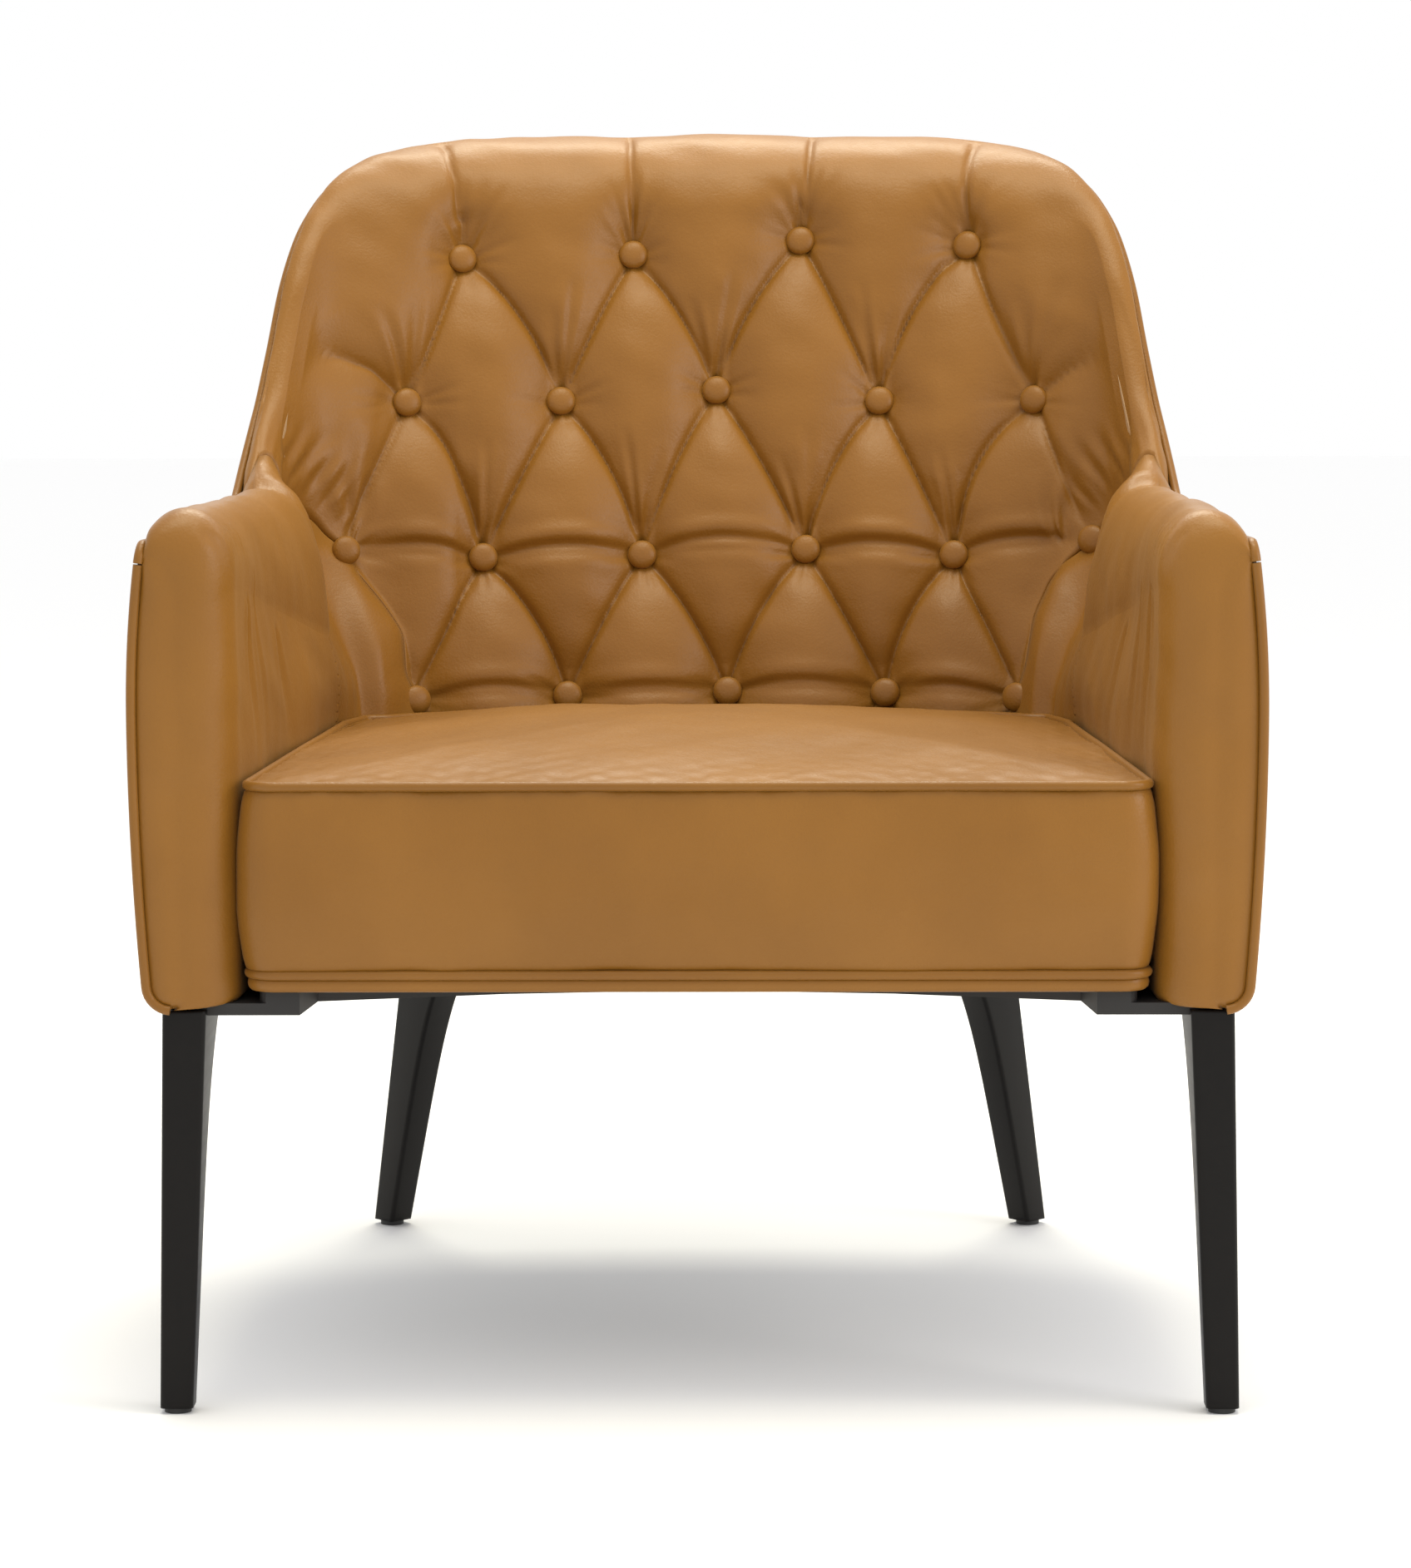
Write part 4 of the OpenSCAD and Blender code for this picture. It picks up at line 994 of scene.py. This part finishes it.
# ---- Piping on the shell ------------------------------------------------------------------------
# A thin welt, leather sewn round a cord, runs along the whole edge of the shell and down the outer
# front edge of each arm, where it turns in under the frame.
welt_depth = welt_radius - welt_proud
welt_step = 0.003
welt_sides = 16
welt_leather = surface(
    "piping_leather", leather_grain, (0.234, 0.097, 0.009), (0.200, 0.079, 0.006), **leather_look
)


def geometry_tree(name, inputs):
    """A geometry tree with named inputs, each with its kind and starting value."""
    tree = bpy.data.node_groups.new(name, "GeometryNodeTree")
    tree.interface.new_socket("Geometry", in_out="INPUT", socket_type="NodeSocketGeometry")
    for label, (kind, value) in inputs.items():
        socket = tree.interface.new_socket(label, in_out="INPUT", socket_type=kind)
        if value is not None:
            socket.default_value = value
    tree.interface.new_socket("Geometry", in_out="OUTPUT", socket_type="NodeSocketGeometry")
    return tree, tree.nodes.new("NodeGroupInput").outputs


def end_tree(tree, shape, material):
    """Ends a geometry tree: the shape gets its material and comes out as one plain mesh."""
    painted = add_node(tree, "GeometryNodeSetMaterial", Geometry=shape, Material=material)
    whole = add_node(tree, "GeometryNodeRealizeInstances", Geometry=painted)
    add_node(tree, "NodeGroupOutput", Geometry=whole)


def grown(name, source, tree, values):
    """Runs a geometry tree on a source mesh and keeps the result as a plain mesh piece."""
    modifier = source.modifiers.new("grow", "NODES")
    modifier.node_group = tree
    sockets = {item.name: item.identifier for item in tree.interface.items_tree if item.in_out == "INPUT"}
    for label, value in values.items():
        modifier[sockets[label]] = value
    bpy.context.view_layer.update()
    made = source.evaluated_get(bpy.context.evaluated_depsgraph_get())
    mesh = bpy.data.meshes.new_from_object(made)
    mesh.name = name
    bpy.data.objects.remove(source)
    return new_object(name, mesh)


def path_source(name, points, closed=False):
    """A mesh of edges along points, to run a geometry tree on."""
    edges = [(k, k + 1) for k in range(len(points) - 1)] + ([(len(points) - 1, 0)] if closed else [])
    mesh = bpy.data.meshes.new(name)
    mesh.from_pydata([tuple(map(float, point)) for point in points], edges, [])
    return new_object(name, mesh)


welt_tree, given = geometry_tree("welt", {
    "Radius": ("NodeSocketFloat", welt_radius), "Step": ("NodeSocketFloat", welt_step),
    "Material": ("NodeSocketMaterial", None),
})
path = add_node(welt_tree, "GeometryNodeMeshToCurve", Mesh=given["Geometry"])
spaced = add_node(
    welt_tree, "GeometryNodeResampleCurve", {"mode": "LENGTH"}, Curve=path, Length=given["Step"]
)
section = add_node(
    welt_tree, "GeometryNodeCurvePrimitiveCircle", Resolution=welt_sides, Radius=given["Radius"]
)
swept = add_node(
    welt_tree, "GeometryNodeCurveToMesh", Curve=spaced, Profile_Curve=section,
    Fill_Caps=True
)
smooth = add_node(welt_tree, "GeometryNodeSetShadeSmooth", Geometry=swept)
end_tree(welt_tree, smooth, given["Material"])


def welt(name, points, node, closed=False):
    """A run of piping along a line, in the place of one CAD node."""
    piece = grown(name, path_source(name + "_path", points, closed), welt_tree, {"Material": welt_leather})
    finished(piece, welt_leather, [node])


edge_runs = np.linspace(-front_run + edge_corner_radius, front_run - edge_corner_radius, 900)
turn = np.linspace(0.05, 0.995, 12) * math.pi / 2
turned = front_run - edge_corner_radius + edge_corner_radius * np.sin(turn)
edge_runs = np.concatenate([-turned[::-1], edge_runs, turned])
edge_line = wall(edge_runs, edge_height(edge_runs) - corner_drop(edge_runs), welt_depth)
welt("edge_welt", edge_line, "shell_edge_piping")
front_top = float(edge_height(front_run)) - edge_corner_radius - 0.0008
turn = np.linspace(0.08, 0.97, 9) * math.pi / 2
front_heights = np.concatenate([
    np.linspace(front_top, outer_bottom + outer_bottom_radius, 80),
    outer_bottom + outer_bottom_radius * (1 - np.sin(turn)),
])
front_depths = welt_depth + roll_under(front_heights, outer_bottom_radius)
for side, label in ((-1, "left"), (1, "right")):
    line = wall(side * (front_run - welt_depth), front_heights, front_depths)
    welt(f"{label}_arm_front_welt", line, f"{label}_arm_front_piping")

# ---- Covered buttons ----------------------------------------------------------------------------
# Twenty buttons, each a domed shell covered with the same leather, drawn back into the foam by a twine
# through the plywood. They are set out as points, and one button is put on each.
button_radius = 0.0112
button_rise = 0.0052
button_sink = 0.0195
joined_sink = 0.0105
button_rows_round = 12
button_steps = 44


def directions(turn):
    """Unit vectors in plan at some angles."""
    return np.stack([np.cos(turn), np.sin(turn)], axis=-1)


def surface_cell(places, place):
    """Row and column of the surface's point nearest to a (length, height) place."""
    away = np.linalg.norm(places - place, axis=-1)
    return np.unravel_index(np.argmin(away), away.shape)


around = np.linspace(0, 2 * math.pi, button_steps, endpoint=False)
dome = np.linspace(0.03, 1, button_rows_round) * math.pi / 2
profile = np.stack([button_radius * np.sin(dome) ** 0.9, button_rise * np.cos(dome)], axis=-1)
profile = np.concatenate([profile, [[0.96 * button_radius, -0.0016], [0.8 * button_radius, -0.0028]]])
levels = np.broadcast_to(profile[:, None, 1:], (len(profile), button_steps, 1))
button_rings = np.concatenate([profile[:, None, :1] * directions(around), levels], axis=-1)
button_form = grid_mesh("button_form", button_rings)

back_facing = facing_of(taut_back)
button_cells = [surface_cell(back_places, place) for place in buttons]
joined = [place for row in button_rows[2:] for place in (row[0], row[-1])]
sinks = [joined_sink if tuple(place) in joined else button_sink for place in buttons]
button_seats = [taut_back[cell] - sink * back_facing[cell] for cell, sink in zip(button_cells, sinks)]
button_points = path_source("button_places", button_seats)
facings = button_points.data.attributes.new("facing", "FLOAT_VECTOR", "POINT")
facings.data.foreach_set("vector", np.array([back_facing[cell] for cell in button_cells]).ravel())

button_tree, given = geometry_tree("buttons", {
    "Button": ("NodeSocketObject", None), "Material": ("NodeSocketMaterial", None),
})
dots = add_node(button_tree, "GeometryNodeMeshToPoints", Mesh=given["Geometry"])
facing = add_node(
    button_tree, "GeometryNodeInputNamedAttribute", {"data_type": "FLOAT_VECTOR"}, Name="facing"
)
turned = add_node(button_tree, "FunctionNodeAlignRotationToVector", {"axis": "Z"}, Vector=facing)
form = add_node(button_tree, "GeometryNodeObjectInfo", Object=given["Button"])
placed = add_node(
    button_tree, "GeometryNodeInstanceOnPoints", Points=dots, Instance=form.outputs["Geometry"],
    Rotation=turned
)
end_tree(button_tree, placed, given["Material"])
button_inputs = {"Button": button_form, "Material": leather}
covered_buttons = grown("covered_buttons", button_points, button_tree, button_inputs)
bpy.data.objects.remove(button_form)
finished(covered_buttons, leather, ["tuft_buttons"])

# ---- Seat ---------------------------------------------------------------------------------------
# A fixed seat pad, crowned like a cushion: a top panel and a border sewn to a welt all the way round,
# a second welt low down, and a narrow band below it that is turned in under the frame.
seat_gap = 0.0035
seat_inset = 0.003
seat_corner_radius = 0.020
seat_height = 0.421
seat_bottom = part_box("seat_base_band")[0].z
lower_welt_height = seat_bottom + 0.012
seat_crown = 0.025
seat_pitch = 0.010
border_bulge = 0.0055
top_seam_inset = 0.0042
lower_seam_inset = 0.0066
seat_welt_inset = welt_radius - 0.0015
deck_margin = 0.060
seat_wave = 0.0009
seat_ripple = 0.0003
seam_pucker = 0.0005
deck_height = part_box("spring_deck_cloth")[1].z
seat_points = 300
seat_rows = 90
border_rows = 34

seat_front = front_y + seat_inset
seat_corner_run = front_run - (seat_inset + seat_corner_radius) / math.sin(side_angle)


def seat_outline(height, inset, count=seat_points):
    """Points round the seat at a height, from the middle of its front by the right-hand side."""
    runs = np.linspace(seat_corner_run, 0, 400)
    side = wall(runs, height, pad_thickness(runs, height) + seat_gap + inset)[:, :2]
    radius = seat_corner_radius - inset
    centre = np.array([side[0, 0] - radius, seat_front + seat_corner_radius])
    turn = np.linspace(-math.pi / 2, 0, 30)[:-1]
    corner = centre + radius * directions(turn)
    front_x = np.linspace(0, centre[0], 80)[:-1]
    front = np.stack([front_x, np.full(len(front_x), seat_front + inset)], axis=-1)
    half = np.concatenate([front, corner, side])
    step = lengths_along(half)
    even = np.linspace(0, step[-1], count)
    half = np.stack([np.interp(even, step, half[:, axis]) for axis in range(2)], axis=-1)
    return np.concatenate([half, half[-2:0:-1] * (-1, 1)])


seat_edge = seat_outline(seat_height, 0)
seat_middle = (seat_front + seat_edge[:, 1].max()) / 2
seat_half_depth = seat_middle - seat_front


def seat_tilt(y):
    """Fall of the seat toward the back."""
    return -seat_pitch * (y - seat_front) / (2 * seat_half_depth)


def at_height(outline, height):
    """Points of an outline in plan, put at a height."""
    return np.column_stack([outline, np.broadcast_to(height, len(outline))])


def seat_level(height, inset):
    """One row of points round the seat, with the seat's tilt in its upper half."""
    outline = seat_outline(height, inset)
    tilt = seat_tilt(outline[:, 1]) * (height - seat_bottom) / (seat_height - seat_bottom)
    return at_height(outline, height + tilt)


shares = np.sin(np.linspace(0.004, 1, seat_rows) * math.pi / 2)
top_outline = seat_outline(seat_height, top_seam_inset)
rows = []
for share in shares:
    ring = top_outline * share
    ring[:, 1] = seat_middle + (top_outline[:, 1] - seat_middle) * share
    height = seat_height + 0.0006 + seat_crown * (1 - share ** 2) ** 1.1 + seat_tilt(ring[:, 1])
    rows.append(at_height(ring, height))
for share in np.linspace(0, 1, border_rows):
    height = seat_height - 0.0010 + (lower_welt_height + 0.0016 - seat_height) * share
    bulge = (top_seam_inset + border_bulge) * math.sin(math.pi * share) ** 0.42
    rows.append(seat_level(height, top_seam_inset - bulge))
seat_face = len(rows)
rows.append(seat_level(lower_welt_height, lower_seam_inset))
rows += [seat_level(deck_height + 0.0004, inset) for inset in (lower_seam_inset, deck_margin)]
seat_grid = np.array(rows)
seat_across = np.roll(seat_grid, -1, axis=1) - np.roll(seat_grid, 1, axis=1)
seat_facing = np.cross(np.gradient(seat_grid, axis=0), seat_across)
seat_facing /= np.maximum(np.linalg.norm(seat_facing, axis=-1, keepdims=True), 1e-9)
seat_facing *= np.sign(seat_facing[seat_rows // 2, 0, 2])
wave = seat_wave * ripples(seat_grid, 0.15, 51) + seat_ripple * ripples(seat_grid, 0.05, 52)
near_welt = np.exp(-np.abs(seat_grid[..., 2] - seat_height - seat_tilt(seat_grid[..., 1])) / 0.009)
wave += seam_pucker * ripples(seat_grid, 0.022, 53) * near_welt
wave[seat_face:] = 0
seat_pad = grid_mesh("seat_pad", seat_grid + wave[..., None] * seat_facing)
finished(seat_pad, leather, ["seat_top_panel", "seat_border", "seat_foam"])
welt("seat_top_welt", seat_level(seat_height, seat_welt_inset), "seat_top_piping", closed=True)
welt("seat_lower_welt", seat_level(lower_welt_height, seat_welt_inset), "seat_lower_piping", closed=True)

# Section of the low band as (height, inset): down its face, round under the frame and up behind
band = [
    (lower_welt_height - 0.0015, 0.0034), (lower_welt_height - 0.004, 0.0012), (0.2895, 0.0006),
    (0.2865, 0.0012), (0.2847, 0.003), (0.2842, 0.0055), (0.2862, 0.0055),
    (lower_welt_height - 0.002, 0.0055),
]
seat_band = grid_mesh("seat_band", np.array([seat_level(height, inset) for height, inset in band]), ring=True)
finished(seat_band, leather, ["seat_base_band"])

# ---- Seat frame and springs ---------------------------------------------------------------------
# Inside the seat: beech rails and corner blocks, five zigzag springs in their clips, and a stretched
# cloth that keeps the foam off the springs. The moulded plywood of the shell stands round them.
wood_grain, place = pattern("wood_grain")
stretched = add_node(wood_grain, "ShaderNodeMapping", Vector=place, Scale=(60.0, 6.0, 60.0))
fibre = add_node(
    wood_grain, "ShaderNodeTexNoise", Vector=stretched, Scale=2.0, Detail=6.0, Distortion=0.6
)
put_out(wood_grain, fibre, fibre)
metal_wear, place = pattern("metal_wear")
haze = add_node(metal_wear, "ShaderNodeTexNoise", Vector=place, Scale=45.0, Detail=4.0)
grit = add_node(metal_wear, "ShaderNodeTexNoise", Vector=place, Scale=900.0, Detail=2.0)
put_out(metal_wear, haze, grit)
weave, place = pattern("weave")
warp = add_node(weave, "ShaderNodeTexWave", {"bands_direction": "X"}, Vector=place, Scale=260.0)
weft = add_node(weave, "ShaderNodeTexWave", {"bands_direction": "Y"}, Vector=place, Scale=260.0)
crossed = add_node(
    weave, "ShaderNodeMath", {"operation": "MULTIPLY"}, in0=warp.outputs["Fac"], in1=weft.outputs["Fac"]
)
patch = add_node(weave, "ShaderNodeTexNoise", Vector=place, Scale=14.0, Detail=3.0)
put_out(weave, patch, crossed)

# Looks of the frame: pattern, light and deep colour, roughness, bump and metal
frame_looks = {
    "beech": (wood_grain, (0.52, 0.33, 0.17), (0.40, 0.23, 0.11), (0.55, 0.70), (0.20, 0.0004), 0.0),
    "plywood": (wood_grain, (0.46, 0.30, 0.16), (0.35, 0.21, 0.10), (0.55, 0.70), (0.20, 0.0004), 0.0),
    "spring_steel": (metal_wear, (0.16, 0.15, 0.14), (0.08, 0.08, 0.08), (0.35, 0.50), (0.10, 0.0002), 0.9),
    "black_steel": (
        metal_wear, (0.022, 0.021, 0.02), (0.014, 0.013, 0.013), (0.42, 0.55), (0.15, 0.0002), 0.3
    ),
    "bolt_steel": (metal_wear, (0.50, 0.49, 0.46), (0.36, 0.35, 0.33), (0.30, 0.42), (0.08, 0.0002), 1.0),
    "nylon": (metal_wear, (0.02, 0.02, 0.02), (0.012, 0.012, 0.012), (0.55, 0.65), (0.20, 0.0002), 0.0),
    "black_board": (wood_grain, (0.02, 0.018, 0.017), (0.011, 0.01, 0.01), (0.60, 0.75), (0.25, 0.0003), 0.0),
}
looks = {}
for label, (group, light, deep, roughness, bump, metallic) in frame_looks.items():
    looks[label] = surface(label, group, light, deep, roughness, bump, metallic)


def painted_nodes(look, *names):
    """Puts a material on CAD nodes that show as they are."""
    for name in names:
        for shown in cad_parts[name].material_slots:
            shown.material = looks[look]


painted_nodes("plywood", "back_panel", "left_arm_panel", "right_arm_panel")
painted_nodes("beech", "front_seat_rail", "left_seat_rail", "right_seat_rail", "rear_seat_rail")
painted_nodes("beech", "rear_left_corner_rail", "rear_right_corner_rail", "front_corner_blocks")
painted_nodes("spring_steel", "zigzag_springs", "spring_clips")

cloth_steps = 40


def cloth_piece(name, outline, top, thickness):
    """A thin closed sheet stretched inside an outline."""
    middle = (outline.min(axis=0) + outline.max(axis=0)) / 2
    rows = []
    shares = np.linspace(0.01, 1, cloth_steps)
    for level, order in ((top, shares), (top - thickness, shares[::-1])):
        for share in order:
            rows.append(at_height(middle + (outline - middle) * share, level))
    return grid_mesh(name, np.array(rows))


deck_cloth = surface(
    "deck_cloth", weave, light=(0.62, 0.52, 0.36), deep=(0.50, 0.40, 0.27), roughness=(0.80, 0.92),
    bump=(0.30, 0.0004), sheen=0.2
)
deck_outline = seat_outline(deck_height, 0.0125, 120)
deck = cloth_piece("deck_cloth", deck_outline, deck_height - 0.0001, 0.0009)
finished(deck, deck_cloth, ["spring_deck_cloth"])

# ---- Base ---------------------------------------------------------------------------------------
# A black board under the frame, with a tab to each front leg, a stapled dust cloth over its opening,
# and a black steel plate with two bolts on top of each leg.
painted_nodes("black_board", "base_board")
painted_nodes("black_steel", "leg_plates")
painted_nodes("bolt_steel", "leg_bolts")
dust_cloth = surface(
    "dust_cloth", weave, light=(0.016, 0.016, 0.017), deep=(0.010, 0.010, 0.011), roughness=(0.85, 0.95),
    bump=(0.30, 0.0004), sheen=0.1
)
dust_low, dust_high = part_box("dust_cover")
dust_radius = 0.060
turn = np.linspace(0, math.pi / 2, 12)
rounding = dust_radius * directions(turn)
centre = np.array([dust_high.x - dust_radius, dust_high.y - dust_radius])
right_half = np.concatenate([[[dust_high.x, dust_low.y]], centre + rounding])
dust_outline = np.concatenate([right_half, right_half[::-1] * (-1, 1)])
dust = cloth_piece("dust_cloth", dust_outline, dust_high.z - 0.0001, 0.0008)
finished(dust, dust_cloth, ["dust_cover"])

# ---- Legs ---------------------------------------------------------------------------------------
# Four tapered blades of solid wood stained nearly black. Each widens toward the seat on its inner side,
# the front pair to the middle of the chair and the rear pair on the diagonal, and stands on a glide.
leg_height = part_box("leg_plates")[0].z
foot_width = 0.022
leg_top_width = 0.029
leg_top_depth = 0.088
leg_edge_radius = 0.0035
glide_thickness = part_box("front_left_leg")[0].z
leg_levels = 130
leg_tenon = 0.008
leg_flare = 0.72
leg_flare_power = 6
leg_wood = surface(
    "black_wood", wood_grain, light=(0.0070, 0.0058, 0.0052), deep=(0.0038, 0.0032, 0.0030),
    roughness=(0.36, 0.48), bump=(0.16, 0.0005), specular=0.16
)

# Leg: place of its foot, turn, lean along its blade and lean across it
legs = {
    "front_left_leg": ((-0.348, -0.365), 90, 0, -0.009),
    "front_right_leg": ((0.348, -0.365), 90, 0, 0.009),
    "rear_left_leg": ((-0.251, 0.235), -45, 0.050, 0),
    "rear_right_leg": ((0.251, 0.235), -135, 0.050, 0),
}


def leg_loop(height, lean_along, lean_across):
    """Rounded section of a leg at a height, about its foot."""
    share = height / leg_height
    wide = foot_width + (leg_top_width - foot_width) * share
    flare = (1 - leg_flare) * share + leg_flare * share ** leg_flare_power
    deep = foot_width + (leg_top_depth - foot_width) * flare
    near = lean_along * share - foot_width / 2 + leg_edge_radius
    far = near + deep - 2 * leg_edge_radius
    across, half = lean_across * share, wide / 2 - leg_edge_radius
    points = []
    corners = ((far, across + half), (near, across + half), (near, across - half), (far, across - half))
    for quarter, (u, v) in enumerate(corners):
        turn = np.linspace(0, math.pi / 2, 7) + quarter * math.pi / 2
        points.append(leg_edge_radius * directions(turn) + (u, v))
    return at_height(np.concatenate(points), height)


for label, ((x, y), turn, lean_along, lean_across) in legs.items():
    heights = np.linspace(glide_thickness, leg_height + leg_tenon, leg_levels)
    loops = np.array([leg_loop(height, lean_along, lean_across) for height in heights])
    cosine, sine = math.cos(math.radians(turn)), math.sin(math.radians(turn))
    u, v = loops[..., 0], loops[..., 1]
    loops[..., 0], loops[..., 1] = x + u * cosine - v * sine, y + u * sine + v * cosine
    leg = grid_mesh(label.replace("leg", "blade"), loops)
    finished(leg, leg_wood, [label])
painted_nodes("nylon", "foot_glides")

# ---- Floor and light ----------------------------------------------------------------------------
# A white floor that runs into a white surround, lit by the surround and by a broad soft light overhead.
floor_reach = 12
floor_corners = [(floor_reach * x, floor_reach * y, 0) for x, y in ((-1, -1), (1, -1), (1, 1), (-1, 1))]
floor_mesh = bpy.data.meshes.new("floor")
floor_mesh.from_pydata(floor_corners, [], [(0, 1, 2, 3)])
new_object("floor", floor_mesh)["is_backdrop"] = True
floor_paint = bpy.data.materials.new("floor_paint")
floor_paint.use_nodes = True
paint = floor_paint.node_tree.nodes["Principled BSDF"].inputs
paint["Base Color"].default_value = (0.98, 0.98, 0.98, 1)
paint["Roughness"].default_value = 0.9
floor_mesh.materials.append(floor_paint)
world = bpy.data.worlds.new("surround")
bpy.context.scene.world = world
world.use_nodes = True
background = world.node_tree.nodes["Background"].inputs
background["Color"].default_value = (1, 1, 1, 1)
background["Strength"].default_value = 1.0
bpy.context.scene.view_settings.view_transform = "Standard"


def soft_light(name, place, size, power, aim, colour):
    """A rectangular light at a place, turned to what it is aimed at."""
    light = bpy.data.lights.new(name, "AREA")
    light.shape = "RECTANGLE"
    light.size, light.size_y = size
    light.energy = power
    light.color = colour
    lamp = new_object(name, light)
    lamp.location = place
    lamp.rotation_euler = (Vector(aim) - Vector(place)).to_track_quat("-Z", "Y").to_euler()


soft_light("top_light", (0.1, -0.35, 2.8), (1.6, 1.2), 37, (0, 0, 0.4), (1.0, 0.93, 0.70))
soft_light("back_light", (0.0, 1.2, 2.2), (1.2, 0.6), 25, (0, -0.1, 0.43), (1.0, 0.97, 0.80))
soft_light("side_light", (2.0, -1.0, 1.3), (1.0, 1.2), 16, (-0.2, 0, 0.5), (1.0, 0.97, 0.94))

# ---- Size ---------------------------------------------------------------------------------------
low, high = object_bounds()
